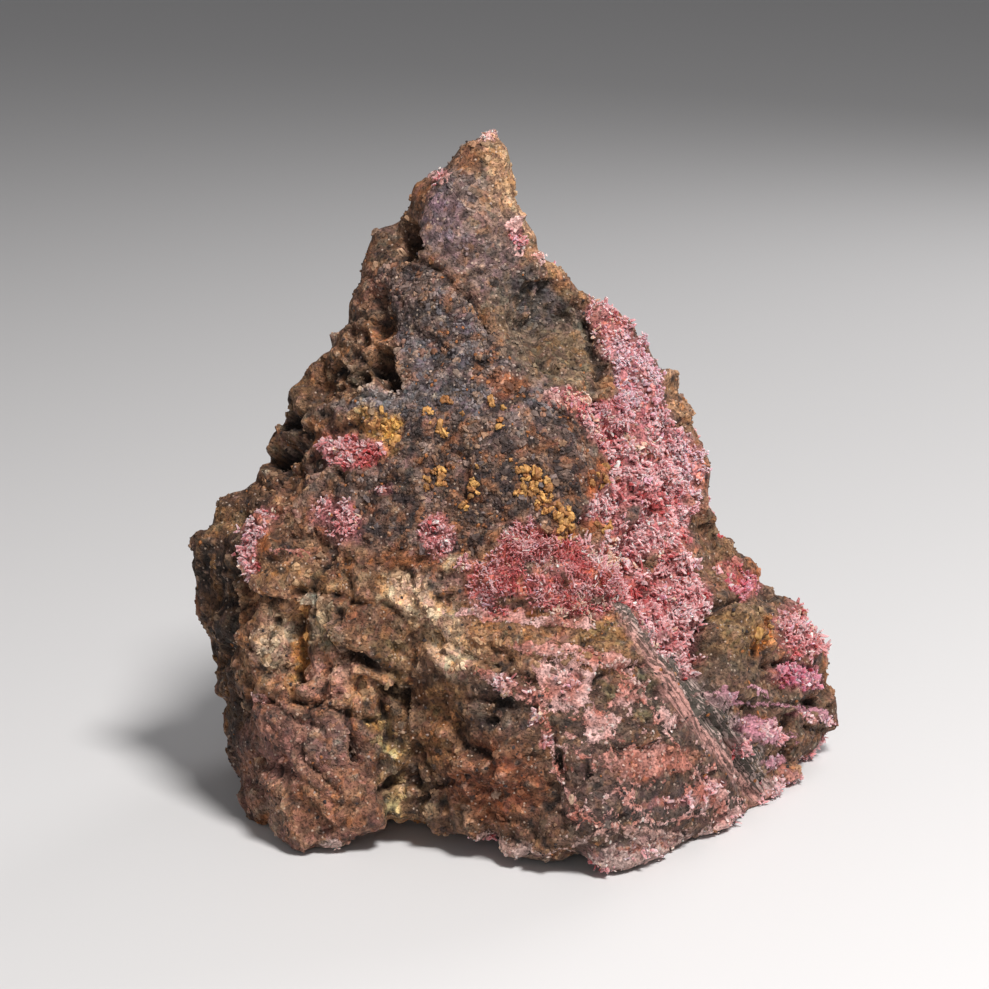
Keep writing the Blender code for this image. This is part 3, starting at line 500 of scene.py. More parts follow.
def crust_of(p, u, v, front):
    """A field that is above 0 on the thin, lacy crusts of the lower faces."""
    wu = u + 6.0 * gnoise(p, 1.7, 161) + 2.5 * gnoise(p, 0.7, 163)
    wv = v + 6.0 * gnoise(p, 1.7, 162) + 2.5 * gnoise(p, 0.7, 164)
    field = np.full(len(u), -1.0)
    for cu, cv, ru, rv, turn, full in CRUSTS:
        a = math.radians(turn)
        du, dv = wu - cu, wv - cv
        r = np.hypot((du * math.cos(a) + dv * math.sin(a)) / ru, (-du * math.sin(a) + dv * math.cos(a)) / rv)
        field = np.maximum(field, full - r)
    field = np.clip(field, -1, 0.34)
    lace = np.abs(gnoise(p + 0.5 * gnoise(p, 1.2, 165)[:, None], 2.0, 166))
    low_face = np.maximum(area(wu, wv, FACET, 8), 0.6 * area(wu, wv, LOBE, 8))
    field = np.maximum(field, low_face * (1.16 - 2.6 * lace) - 1.0)
    field += 0.34 * gnoise(p, 1.1, 167) + 0.22 * gnoise(p, 0.55, 168)
    su, sv = u + 4.0 * gnoise(p, 1.4, 125), v + 4.0 * gnoise(p, 1.4, 127)
    for pts, width in VEINS:
        field = np.maximum(field, 0.26 - 0.42 * seg_distance(su, sv, pts) / width)
    return np.where(front > 0.5, np.clip(field, -1, 1), -1.0) * 1.0


def colour_of(p, n, u, v, front, d, hollow, grow):
    """Base colour of the rock, with painted shade in its hollows, pockets, cracks, shoulder and left face, and painted
    light on its raised edges.
    """
    wu = u + 9.0 * gnoise(p, 2.6, 101) + 4.0 * gnoise(p, 0.9, 102)
    wv = v + 9.0 * gnoise(p, 2.6, 103) + 4.0 * gnoise(p, 0.9, 104)
    a, b, c = fbm(p, 6.0, 3, 111), fbm(p, 1.9, 3, 112), fbm(p, 0.7, 2, 113)
    col = np.tile(rgb(120, 88, 66), (len(u), 1))

    def lay(mask, tone, amount=1.0):
        nonlocal col
        w = np.clip(mask * amount, 0, 1)[:, None]
        col = col + (np.asarray(tone) - col) * w

    # what the whole stone has: tan and dark-brown mottling, rust and ochre stains, grey patches
    lay(step(0.0, 0.5, a), rgb(158, 120, 88), 0.6)
    lay(step(0.05, 0.45, -a), rgb(84, 58, 46), 0.7)
    lay(step(0.12, 0.4, b), rgb(168, 130, 98), 0.45)
    lay(step(0.12, 0.4, -b), rgb(66, 48, 40), 0.55)
    lay(step(0.18, 0.4, gnoise(p, 4.2, 114)), rgb(156, 96, 50), 0.5)
    lay(step(0.25, 0.5, gnoise(p, 5.2, 115)), rgb(116, 98, 92), 0.6)
    # broader stains on the sides and the back
    rest = 1 - front
    broad = gnoise(p, 13.0, 191) + 0.35 * gnoise(p, 4.0, 193)
    lay(rest * step(0.04, 0.22, broad), rgb(150, 120, 92), 0.65)
    lay(rest * step(0.04, 0.24, -broad), rgb(86, 70, 62), 0.6)
    lay(rest * step(0.12, 0.3, gnoise(p, 8.0, 192) + 0.3 * a), rgb(116, 106, 102), 0.6)
    lay(rest * step(0.16, 0.34, gnoise(p, 7.0, 194) + 0.3 * b), rgb(170, 116, 62), 0.55)

    def spot(shape, tone, amount=1.0, soft=9.0):
        m = area(wu, wv, shape, soft) if isinstance(shape, list) else oval(wu, wv, *shape)
        lay(m * front, tone, amount)

    spot(GRANULAR, rgb(90, 78, 74), 0.95)
    g = area(wu, wv, GRANULAR, 9) * front
    lay(g * step(-0.05, 0.35, a), rgb(112, 82, 64), 0.75)
    lay(g * step(0.0, 1.0, (v - 390) / 90), rgb(88, 64, 50), 0.7)
    lay(g * step(0.02, 0.25, -b), rgb(50, 42, 42), 0.85)
    lay(g * step(0.06, 0.3, b), rgb(138, 118, 110), 0.5)
    lay(g * step(0.15, 0.35, gnoise(p, 1.0, 119)), rgb(44, 38, 40), 0.7)
    lay(g * step(0.2, 0.4, gnoise(p, 1.3, 120)), rgb(150, 100, 66), 0.45)
    lay(g * step(0.1, 0.4, gnoise(p, 2.4, 116)) * step(0.0, 1.0, (470 - v) / 80), rgb(112, 110, 116), 0.5)
    spot((400, 285, 34, 12, 15), rgb(134, 112, 104), 0.6)
    spot((372, 300, 12, 20, 10), rgb(142, 92, 72), 0.5)
    spot((440, 395, 60, 16, 0), rgb(108, 106, 112), 0.45)
    spot((378, 410, 34, 10, -10), rgb(120, 118, 124), 0.6)
    spot(SUMMIT, rgb(112, 98, 96), 0.9)
    spot((440, 215, 16, 30, 5), rgb(122, 104, 116), 0.6)
    spot((444, 176, 16, 14, 0), rgb(84, 84, 88), 0.6)
    spot((490, 210, 20, 34, 0), rgb(140, 114, 96), 0.6)
    spot((420, 190, 14, 30, 15), rgb(124, 84, 52), 0.8)
    spot((410, 225, 10, 22, 10), rgb(96, 74, 56), 0.6)
    spot((468, 152, 26, 18, -30), rgb(140, 104, 78), 0.85)
    spot((512, 184, 13, 44, -12), rgb(204, 168, 124), 0.85)
    spot((504, 150, 9, 18, 0), rgb(176, 146, 108), 0.7)
    spot((548, 256, 9, 26, -35), rgb(186, 148, 102), 0.7)
    spot((486, 136, 13, 11, 0), rgb(196, 150, 130), 0.75)
    spot((518, 214, 9, 30, -12), rgb(188, 156, 126), 0.85)
    spot((500, 180, 14, 34, -10), rgb(170, 140, 110), 0.75)
    spot((452, 236, 14, 26, -20), rgb(128, 112, 118), 0.6)
    spot((388, 252, 18, 22, 0), rgb(78, 62, 50), 0.75)
    spot((352, 320, 26, 40, 25), rgb(104, 80, 62), 0.7)
    spot((330, 376, 30, 30, 0), rgb(112, 82, 56), 0.75)
    spot((300, 400, 16, 20, 0), rgb(120, 96, 72), 0.6)
    spot((284, 452, 22, 26, 20), rgb(96, 68, 44), 0.7)
    spot(RECESS, rgb(106, 96, 84), 0.85)
    spot((534, 296, 34, 24, 20), rgb(74, 72, 72), 0.85)
    spot((560, 360, 34, 28, 20), rgb(118, 100, 76), 0.7)
    # painted shade: a dark stripe painted down the crack in the recess
    spot((594, 352, 7, 30, -12), rgb(60, 44, 34), 0.8)
    spot((570, 292, 14, 8, 35), rgb(142, 104, 68), 0.6)
    spot((505, 386, 18, 13, 10), rgb(138, 82, 46), 0.7)
    spot(TROUGH, rgb(150, 96, 96), 0.75)
    spot(RIM, rgb(150, 118, 92), 0.85)
    spot((626, 342, 16, 7, 30), rgb(134, 80, 104), 0.7)
    spot((592, 476, 10, 20, 0), rgb(148, 88, 54), 0.8)
    spot((602, 524, 12, 9, 0), rgb(142, 86, 54), 0.8)
    spot((653, 562, 9, 9, 0), rgb(104, 92, 62), 0.85)
    spot((628, 515, 8, 9, 0), rgb(70, 66, 64), 0.9)
    spot((712, 540, 16, 34, -35), rgb(112, 86, 62), 0.8)
    spot((694, 498, 10, 18, 0), rgb(146, 112, 92), 0.5)
    # painted shade: these two near-black spots sit in the deep pockets and stand for the shade inside them
    spot((366, 372, 22, 13, -25), rgb(24, 19, 17), 0.95)
    spot((388, 366, 14, 14, 0), rgb(34, 26, 22), 0.85)
    spot((390, 384, 6, 5, 0), rgb(190, 100, 46), 0.8)
    spot((400, 392, 14, 6, -10), rgb(132, 128, 130), 0.6)
    spot((310, 412, 26, 22, -35), rgb(74, 58, 44), 0.6)
    # painted shade: near-black paint in the pocket and the crack at the left edge
    spot((302, 426, 18, 9, -35), rgb(24, 20, 20), 0.95)
    spot((290, 458, 20, 9, -48), rgb(28, 25, 26), 0.9)
    spot((300, 446, 14, 5, -30), rgb(120, 112, 108), 0.6)
    # painted shade: dark paint in a pocket
    spot((338, 372, 12, 9, -30), rgb(34, 27, 23), 0.85)
    spot((300, 392, 9, 12, 10), rgb(142, 118, 84), 0.6)
    # painted shade: dark paint in a pocket
    spot((384, 320, 8, 16, 15), rgb(54, 40, 32), 0.8)
    spot((372, 424, 20, 14, 20), rgb(190, 146, 84), 0.8)
    spot((390, 432, 9, 20, 0), rgb(196, 150, 78), 0.8)
    spot((372, 399, 30, 8, -18), rgb(146, 140, 138), 0.75)
    spot((402, 376, 8, 22, 0), rgb(132, 112, 104), 0.6)
    # painted shade: the left shoulder is painted dark, as it lies in shadow
    spot(SHOULDER, rgb(76, 56, 42), 0.9)
    spot((232, 522, 16, 14, -20), rgb(146, 112, 76), 0.5)
    # painted shade: the left face is painted near-black, as it lies in shadow
    spot(LEFTFACE, rgb(36, 28, 23), 0.95)
    streak = gnoise(np.stack((p[:, 0] / 1.1, p[:, 1] / 1.1, p[:, 2] / 5.0), 1), 1.0, 196)
    lay(area(wu, wv, LEFTFACE, 9) * front * step(0.12, 0.32, streak), rgb(118, 84, 48), 0.6)
    spot((222, 720, 8, 60, 0), rgb(130, 86, 44), 0.35)
    # painted shade: a dark stripe painted along the crack in the left face
    spot((236, 596, 8, 34, 0), rgb(40, 34, 32), 0.75)
    spot((212, 600, 8, 24, 0), rgb(110, 84, 54), 0.4)
    spot((232, 700, 10, 40, 0), rgb(88, 62, 40), 0.4)
    spot(BLOCK, rgb(144, 108, 80), 0.8)
    b_ = area(wu, wv, BLOCK, 8) * front
    lay(b_ * step(0.05, 0.3, gnoise(p, 2.6, 118)), rgb(186, 148, 112), 0.55)
    lay(b_ * step(0.1, 0.35, gnoise(p, 2.2, 119)), rgb(92, 62, 44), 0.7)
    spot((304, 580, 40, 12, 5), rgb(148, 118, 84), 0.7)
    spot((380, 590, 40, 14, 10), rgb(126, 98, 72), 0.6)
    spot((306, 600, 9, 8, 0), rgb(196, 186, 166), 0.85)
    spot((276, 640, 13, 30, 0), rgb(178, 160, 136), 0.7)
    spot((322, 628, 12, 22, 0), rgb(168, 156, 132), 0.6)
    spot((298, 646, 6, 44, 0), rgb(176, 126, 62), 0.75)
    spot((328, 676, 26, 26, 0), rgb(196, 152, 132), 0.85)
    spot((330, 636, 24, 16, 10), rgb(112, 104, 84), 0.65)
    spot((368, 616, 24, 18, 0), rgb(124, 84, 64), 0.7)
    spot((392, 724, 18, 11, 0), rgb(176, 140, 86), 0.8)
    spot((394, 680, 12, 8, 20), rgb(176, 142, 104), 0.75)
    spot((392, 620, 24, 26, 0), rgb(96, 72, 54), 0.65)
    spot((424, 608, 24, 36, -30), rgb(214, 188, 154), 0.95)
    spot((452, 644, 28, 18, 40), rgb(206, 172, 130), 0.85)
    spot(FOOT, rgb(118, 86, 74), 0.9)
    spot((280, 750, 24, 40, 10), rgb(140, 102, 92), 0.7)
    spot((300, 806, 36, 26, 20), rgb(140, 98, 70), 0.5)
    spot((326, 742, 22, 20, 0), rgb(122, 98, 92), 0.6)
    spot((340, 800, 34, 26, 0), rgb(140, 102, 76), 0.6)
    spot((272, 820, 16, 20, 30), rgb(178, 152, 132), 0.5)
    spot((334, 842, 14, 5, 0), rgb(188, 172, 150), 0.6)
    spot(GROOVE, rgb(110, 94, 64), 0.6)
    spot((404, 776, 30, 30, 10), rgb(132, 108, 72), 0.6)
    for at in ((388, 754, 11, 9, 0), (410, 792, 10, 9, 30), (430, 808, 9, 8, 0), (376, 744, 8, 6, 0), (398, 808, 8, 6, 0)):
        spot(at, rgb(206, 186, 134), 0.8)
    spot((384, 770, 6, 20, -30), rgb(64, 70, 60), 0.6)
    # painted shade: dark paint in a small pocket
    spot((412, 780, 5, 16, 0), rgb(40, 34, 28), 0.8)
    # painted shade: dark paint in the pockets beside the groove
    spot((368, 662, 16, 9, 15), rgb(36, 30, 26), 0.85)
    spot((400, 704, 18, 24, 0), rgb(52, 42, 34), 0.75)
    spot((414, 722, 14, 30, 0), rgb(128, 92, 50), 0.5)
    spot((444, 590, 24, 22, 0), rgb(128, 106, 98), 0.7)
    spot((513, 601, 17, 10, 10), rgb(112, 98, 84), 0.9)
    spot((527, 569, 9, 8, 0), rgb(104, 92, 84), 0.9)
    spot((453, 562, 8, 9, 0), rgb(200, 184, 152), 0.8)
    spot((465, 566, 5, 10, 0), rgb(74, 44, 48), 0.8)
    spot(BAND, rgb(138, 106, 78), 0.8)
    spot((480, 636, 50, 14, 10), rgb(168, 132, 98), 0.6)
    spot((604, 634, 26, 16, 10), rgb(126, 104, 66), 0.7)
    spot(SLOPE, rgb(94, 70, 54), 0.85)
    spot((486, 700, 50, 26, 25), rgb(92, 74, 64), 0.7)
    spot((446, 700, 20, 24, 0), rgb(134, 98, 58), 0.6)
    spot((496, 782, 44, 40, 30), rgb(126, 74, 48), 0.8)
    spot((440, 740, 18, 30, 10), rgb(136, 96, 56), 0.5)
    spot((470, 818, 40, 10, 15), rgb(120, 92, 72), 0.6)
    # painted shade: dark paint in the two small pockets
    spot((505, 702, 12, 10, 0), rgb(44, 38, 36), 0.85)
    spot((488, 724, 10, 9, 0), rgb(50, 42, 38), 0.8)
    spot(FACET, rgb(88, 71, 62), 0.9)
    spot((600, 700, 30, 26, 20), rgb(122, 96, 82), 0.5)
    spot((620, 792, 60, 26, -12), rgb(84, 68, 62), 0.85)
    for at in ((605, 690, 12, 8, 30), (650, 680, 12, 9, 30), (640, 716, 10, 7, 0), (700, 722, 11, 7, 30)):
        spot(at, rgb(92, 86, 62), 0.85)
    spot((650, 760, 40, 16, -8), rgb(196, 126, 104), 0.7)
    spot((664, 806, 84, 17, -12), rgb(78, 68, 64), 0.85)
    spot((590, 780, 24, 40, 0), rgb(108, 86, 78), 0.6)
    # painted shade: a dark line painted along the crack
    spot((640, 752, 34, 4, -4), rgb(38, 32, 32), 0.7)
    spot((630, 850, 60, 14, -16), rgb(176, 142, 138), 0.6)
    spot((500, 842, 40, 6, 14), rgb(182, 162, 152), 0.5)
    spot(STRIP, rgb(136, 102, 98), 0.85)
    spot((704, 690, 20, 30, -30), rgb(84, 77, 70), 0.75)
    spot(LOBE, rgb(104, 82, 66), 0.88)
    spot((730, 634, 26, 24, 0), rgb(120, 98, 66), 0.8)
    # painted shade: a dark stripe painted down the crack beside the lobe
    spot((704, 632, 6, 24, 0), rgb(48, 42, 34), 0.7)
    spot((757, 640, 14, 14, 0), rgb(178, 108, 40), 0.75)
    spot((740, 672, 26, 10, 10), rgb(96, 82, 66), 0.7)
    spot((797, 678, 24, 12, 0), rgb(136, 62, 98), 0.6)
    spot((776, 700, 40, 8, 10), rgb(86, 78, 68), 0.6)
    spot((736, 760, 20, 16, 30), rgb(92, 84, 80), 0.6)
    # painted shade: a dark line painted along the groove cut at the crest
    edge = 1 - step(2.0, 6.0, seg_distance(u + 2 * gnoise(p, 1.0, 123), v + 2 * gnoise(p, 1.0, 124), CREST))
    lay(edge * front, rgb(36, 34, 32), 0.85)
    # ochre grains and dark specks
    f1, _, _, ident = cells(p, 0.75, 131)
    pick = of_cell(ident, 31)
    size = 0.28 + 0.25 * of_cell(ident, 32)
    dot = 1 - step(size, size + 0.16, f1)
    lay(dot * (pick < 0.02) * step(-0.2, 0.3, gnoise(p, 5.0, 134)), rgb(150, 100, 60), 0.7)
    lay(dot * (pick > 0.90), rgb(46, 38, 36), 0.85)
    lay(dot * ((pick > 0.5) & (pick < 0.52)), rgb(176, 156, 138), 0.5)
    f1, _, _, ident = cells(p, 0.42, 132)
    pick = of_cell(ident, 33)
    dot = 1 - step(0.3, 0.5, f1)
    lay(dot * (pick < 0.16), rgb(58, 46, 42), 0.6)
    lay(dot * (pick > 0.90), rgb(176, 150, 132), 0.5)
    # painted shade: hollows are painted darker and browner; painted light: raised edges are painted paler
    lay(step(0.12, 0.55, hollow), rgb(34, 26, 22), 0.85)
    lay(step(0.10, 0.45, -hollow), rgb(182, 150, 122), 0.30)
    ridge = 1 - step(10, 26, seg_distance(wu, wv, [(398, 586), (420, 604), (440, 626), (456, 650)]))
    lay(ridge * front, rgb(198, 172, 142), 0.85)
    lay(ridge * front * step(0.08, 0.3, -b), rgb(150, 118, 88), 0.5)
    lay(ridge * front * step(0.12, 0.3, gnoise(p, 1.2, 195)), rgb(206, 186, 158), 0.6)
    value = 1.05 + 0.34 * c + 0.18 * b
    return np.clip(col * value[:, None], 0.003, 1)


def put_attribute(mesh, name, values):
    if values.ndim == 1:
        a = mesh.attributes.new(name, "FLOAT", "POINT")
        a.data.foreach_set("value", values.astype(np.float32))
    else:
        a = mesh.color_attributes.new(name, "FLOAT_COLOR", "POINT")
        full = np.ones((len(values), 4), np.float32)
        full[:, :3] = values
        a.data.foreach_set("color", full.ravel())


# ------------------------------------------------------------------------------------------- small grown pieces
def frames(axis, spin):
    """Two unit vectors square to each axis, turned by spin."""
    helper = np.where(np.abs(axis[:, 2:3]) < 0.9, np.array((0.0, 0.0, 1.0)), np.array((1.0, 0.0, 0.0)))
    a = np.cross(axis, helper)
    a /= np.linalg.norm(a, axis=1)[:, None]
    b = np.cross(axis, a)
    c, s = np.cos(spin)[:, None], np.sin(spin)[:, None]
    return a * c + b * s, b * c - a * s


def joined(name, verts, faces, tint):
    """One mesh from arrays: verts (n, k, 3) in mm, faces for one item, tint (n, k, 3); none reach below the foot."""
    above = verts[:, :, 2].min(axis=1) > 0.0
    verts, tint = verts[above], tint[above]
    n, k, _ = verts.shape
    f = np.asarray(faces)
    all_faces = (f[None] + (np.arange(n) * k)[:, None, None]).reshape(-1, f.shape[1])
    mesh = bpy.data.meshes.new(name)
    mesh.vertices.add(n * k)
    mesh.vertices.foreach_set("co", (verts.reshape(-1, 3) * MM).astype(np.float32).ravel())
    mesh.loops.add(all_faces.size)
    mesh.loops.foreach_set("vertex_index", all_faces.astype(np.int32).ravel())
    mesh.polygons.add(len(all_faces))
    mesh.polygons.foreach_set("loop_start", np.arange(0, all_faces.size, f.shape[1], dtype=np.int32))
    mesh.polygons.foreach_set("loop_total", np.full(len(all_faces), f.shape[1], np.int32))
    mesh.update(calc_edges=True)
    mesh.validate()
    put_attribute(mesh, "tint", np.broadcast_to(tint, (n, k, 3)).reshape(-1, 3) if tint.ndim == 3 else
                  np.repeat(tint, k, axis=0))
    obj = bpy.data.objects.new(name, mesh)
    bpy.context.scene.collection.objects.link(obj)
    return obj


BLADE_FACES = [(0, 1, 5, 4), (1, 2, 6, 5), (2, 3, 7, 6), (3, 0, 4, 7), (4, 5, 6, 7), (3, 2, 1, 0)]


def blades(name, base, axis, length, width, thick, tint, rng):
    """Tapered, chisel-ended crystal blades, painted darker at the base as shade and paler at the tip as highlight."""
    n = len(base)
    a, b = frames(axis, rng.uniform(0, 2 * math.pi, n))
    lean = a * rng.normal(0, 0.08, (n, 1)) + b * rng.normal(0, 0.08, (n, 1))
    tip = base + axis * length[:, None] + lean * length[:, None]
    w, t = width[:, None], thick[:, None]
    slant = rng.uniform(-0.5, 0.5, (n, 1)) * w
    verts = np.stack(
        (
            base - a * w - b * t, base + a * w - b * t, base + a * w + b * t, base - a * w + b * t,
            tip - a * w * 0.62 - b * t * 0.5 + axis * slant, tip + a * w * 0.62 - b * t * 0.5 - axis * slant,
            tip + a * w * 0.55 + b * t * 0.5 - axis * slant, tip - a * w * 0.55 + b * t * 0.5 + axis * slant,
        ), 1)
    shade = np.ones((n, 8, 3)) * tint[:, None]
    # painted shade and highlight: each blade's base is painted darker and its tip paler
    shade[:, :4] *= np.array((0.92, 0.82, 0.83))
    shade[:, 4:] *= np.array((1.03, 1.12, 1.11))
    return joined(name, verts, BLADE_FACES, shade)


def ball(levels):
    b = bmesh.new()
    bmesh.ops.create_icosphere(b, subdivisions=levels, radius=1.0)
    v = np.array([x.co for x in b.verts])
    f = [[x.index for x in q.verts] for q in b.faces]
    b.free()
    return v, f


def lumps(name, at, normal, radius, tint, levels, rough, squash, rng):
    """Small rounded or angular grains bedded in the rock."""
    v, f = ball(levels)
    n = len(at)
    a, b = frames(normal, rng.uniform(0, 2 * math.pi, n))
    stretch = rng.uniform(0.75, 1.3, (n, 1, 1))
    x, y, z = v[None, :, 0:1] * stretch, v[None, :, 1:2] / stretch, v[None, :, 2:3] * squash
    local = x * a[:, None] + y * b[:, None] + z * normal[:, None]
    seeds = rng.uniform(0, 200, (n, 1, 3))
    at_noise = (v[None] * 1.0 + seeds).reshape(-1, 3)
    bump = (gnoise(at_noise, 0.9, 7) + 0.5 * gnoise(at_noise, 0.42, 8)).reshape(n, -1, 1)
    local = local * (1 + rough * bump)
    verts = at[:, None] + local * radius[:, None, None]
    # painted light and shade: each lump's tint is painted paler on its bumps and darker in its dents
    return joined(name, verts, f, tint[:, None] * (1 + 0.8 * rough * np.clip(bump, -0.5, 0.6)))


# ------------------------------------------------------------------------------------------- materials
def link(tree, a, b):
    tree.links.new(a, b)


def node(t, kind, inputs=(), **settings):
    n = t.nodes.new(kind)
    for key, value in settings.items():
        setattr(n, key, value)
    for key, value in dict(inputs).items():
        if hasattr(value, "links"):
            link(t, value, n.inputs[key])
        else:
            n.inputs[key].default_value = value
    return n


def spread(t, value, low, high, to_low, to_high):
    return node(t, "ShaderNodeMapRange", {"Value": value, "From Min": low, "From Max": high, "To Min": to_low,
                                          "To Max": to_high}).outputs["Result"]


def maths(t, kind, a, b):
    return node(t, "ShaderNodeMath", {0: a, 1: b}, operation=kind).outputs["Value"]


def blend(t, share, a, b):
    m = node(t, "ShaderNodeMix", data_type="RGBA")
    colours = [x for x in m.inputs if x.type == "RGBA"]
    link(t, share, m.inputs["Factor"])
    for socket, value in zip(colours, (a, b)):
        if hasattr(value, "links"):
            link(t, value, socket)
        else:
            socket.default_value = value
    return [x for x in m.outputs if x.type == "RGBA"][0]


def scaled(t, colour, value):
    n = node(t, "ShaderNodeVectorMath", operation="SCALE")
    link(t, colour, n.inputs[0])
    link(t, value, n.inputs["Scale"])
    return n.outputs["Vector"]


def rock_material(crest_way):
    """Stained rock: tints from the mesh, fine mottling, chips, specks, pale glint specks painted into the colour, crisp
    crusts and fine lines along the crest.
    """
    m = bpy.data.materials.new("iron_stained_rock")
    m.use_nodes = True
    t = m.node_tree
    s = t.nodes["Principled BSDF"]
    tint = node(t, "ShaderNodeVertexColor", layer_name="tint").outputs["Color"]
    where = node(t, "ShaderNodeTexCoord").outputs["Object"]
    fine = node(t, "ShaderNodeTexNoise", {"Vector": where, "Scale": 2800, "Detail": 4, "Roughness": 0.68}).outputs["Fac"]
    broad = node(t, "ShaderNodeTexNoise", {"Vector": where, "Scale": 1200, "Detail": 5, "Roughness": 0.7})
    speck = node(t, "ShaderNodeTexNoise", {"Vector": where, "Scale": 3900, "Detail": 2, "Roughness": 0.5}).outputs["Fac"]
    spark = node(t, "ShaderNodeTexVoronoi", {"Vector": where, "Scale": 3000})
    spark_id = node(t, "ShaderNodeSeparateColor", {"Color": spark.outputs["Color"]}).outputs["Red"]
    warped = node(t, "ShaderNodeVectorMath", {0: broad.outputs["Color"], 1: (0.0005, 0.0005, 0.0005), 2: where},
                  operation="MULTIPLY_ADD").outputs["Vector"]
    chips = node(t, "ShaderNodeTexVoronoi", {"Vector": warped, "Scale": 1700})
    chip = node(t, "ShaderNodeSeparateColor", {"Color": chips.outputs["Color"]})
    flakes = node(t, "ShaderNodeTexVoronoi", {"Vector": warped, "Scale": 950})
    flake = node(t, "ShaderNodeSeparateColor", {"Color": flakes.outputs["Color"]})
    col = scaled(t, tint, spread(t, fine, 0.3, 0.7, 0.66, 1.34))
    stain = node(t, "ShaderNodeValToRGB", {"Fac": broad.outputs["Fac"]})
    stain.color_ramp.elements[0].position = 0.36
    stain.color_ramp.elements[0].color = (0.66, 0.56, 0.50, 1)
    stain.color_ramp.elements[1].position = 0.64
    stain.color_ramp.elements[1].color = (1.40, 1.34, 1.26, 1)
    stain.color_ramp.elements.new(0.5).color = (1.0, 0.96, 0.92, 1)
    col = node(t, "ShaderNodeVectorMath", {0: col, 1: stain.outputs["Color"]}, operation="MULTIPLY").outputs["Vector"]
    col = scaled(t, col, spread(t, chip.outputs["Green"], 0.0, 1.0, 0.72, 1.26))
    col = scaled(t, col, spread(t, speck, 0.36, 0.43, 0.42, 1.0))
    for source in (flake.outputs["Green"], chip.outputs["Red"]):
        hues = node(t, "ShaderNodeValToRGB", {"Fac": source})
        hues.color_ramp.interpolation = "CONSTANT"
        hues.color_ramp.elements[0].color = (0.72, 0.68, 0.67, 1)
        hues.color_ramp.elements[1].position = 0.90
        hues.color_ramp.elements[1].color = (0.90, 1.00, 1.04, 1)
        for at, tone in ((0.14, (1.02, 1.00, 0.98)), (0.36, (1.02, 0.94, 1.02)), (0.54, (1.20, 1.17, 1.14)),
                         (0.70, (1.14, 1.00, 0.84)), (0.80, (0.90, 0.88, 0.94))):
            hues.color_ramp.elements.new(at).color = (*tone, 1)
        col = node(t, "ShaderNodeVectorMath", {0: col, 1: hues.outputs["Color"]}, operation="MULTIPLY").outputs["Vector"]
    # painted highlight: pale specks painted into the colour as glints off the grains
    painted_grain_glint = maths(t, "MULTIPLY", spread(t, spark_id, 0.89, 0.91, 0.0, 1.0),
                  spread(t, spark.outputs["Distance"], 0.25, 0.4, 1.0, 0.0))
    col = blend(t, maths(t, "MULTIPLY", painted_grain_glint, 0.65), col, (*rgb(206, 182, 164), 1))
    # lines along the crest
    frame_axes = crest_way.to_track_quat("Z", "Y").to_euler()
    combed = node(t, "ShaderNodeMapping", {"Vector": where, "Rotation": tuple(frame_axes),
                                           "Scale": (0.00032, 0.00032, 0.0046)}, vector_type="TEXTURE").outputs["Vector"]
    hair = node(t, "ShaderNodeTexNoise", {"Vector": combed, "Scale": 1.0, "Detail": 3, "Roughness": 0.6,
                                          "Distortion": 0.25}).outputs["Fac"]
    side = node(t, "ShaderNodeAttribute", attribute_name="dark_side").outputs["Fac"]
    lit = spread(t, maths(t, "SUBTRACT", hair, maths(t, "MULTIPLY", side, 0.05)), 0.455, 0.515, 0.0, 1.0)
    pale = blend(t, side, (*rgb(212, 158, 148), 1), (*rgb(200, 176, 168), 1))
    dark = blend(t, side, (*rgb(112, 84, 76), 1), (*rgb(86, 81, 74), 1))
    hatch = scaled(t, blend(t, lit, dark, pale), spread(t, fine, 0.3, 0.7, 0.75, 1.25))
    streaks = node(t, "ShaderNodeAttribute", attribute_name="streaks").outputs["Fac"]
    on_strip = maths(t, "MULTIPLY", streaks, 0.9)
    col = blend(t, on_strip, col, hatch)
    # crusts
    crust = node(t, "ShaderNodeAttribute", attribute_name="crust").outputs["Fac"]
    ragged = maths(t, "ADD", crust, spread(t, fine, 0.2, 0.8, -0.42, 0.42))
    ragged = maths(t, "ADD", ragged, spread(t, broad.outputs["Fac"], 0.2, 0.8, -0.25, 0.25))
    on_crust = spread(t, ragged, 0.01, 0.07, 0.0, 1.0)
    off_strip = spread(t, streaks, 0.0, 1.0, 1.0, 0.3)
    on_crust = maths(t, "MULTIPLY", on_crust, off_strip)
    crust_tint = node(t, "ShaderNodeVertexColor", layer_name="crust_tint").outputs["Color"]
    crust_tint = scaled(t, crust_tint, spread(t, chip.outputs["Blue"], 0.0, 1.0, 0.56, 1.06))
    crust_tint = scaled(t, crust_tint, spread(t, speck, 0.34, 0.6, 0.60, 1.10))
    col = blend(t, maths(t, "MULTIPLY", on_crust, 0.95), col, crust_tint)
    link(t, col, s.inputs["Base Color"])
    link(t, spread(t, fine, 0.35, 0.7, 0.9, 0.48), s.inputs["Roughness"])
    height = maths(t, "MULTIPLY_ADD", broad.outputs["Fac"], 0.9)
    link(t, fine, height.node.inputs[2])
    height = maths(t, "ADD", height, maths(t, "MULTIPLY", chip.outputs["Red"], 1.1))
    height = maths(t, "ADD", height, maths(t, "MULTIPLY", flake.outputs["Red"], 1.3))
    height = maths(t, "ADD", height, spread(t, speck, 0.35, 0.5, -0.5, 0.0))
    height = maths(t, "ADD", height, maths(t, "MULTIPLY", on_crust, 0.6))
    height = maths(t, "ADD", height, maths(t, "MULTIPLY", maths(t, "MULTIPLY", lit, streaks), 0.9))
    bump = node(t, "ShaderNodeBump", {"Strength": 0.95, "Distance": 0.00020, "Height": height})
    link(t, bump.outputs["Normal"], s.inputs["Normal"])
    s.inputs["Specular IOR Level"].default_value = 0.4
    return m


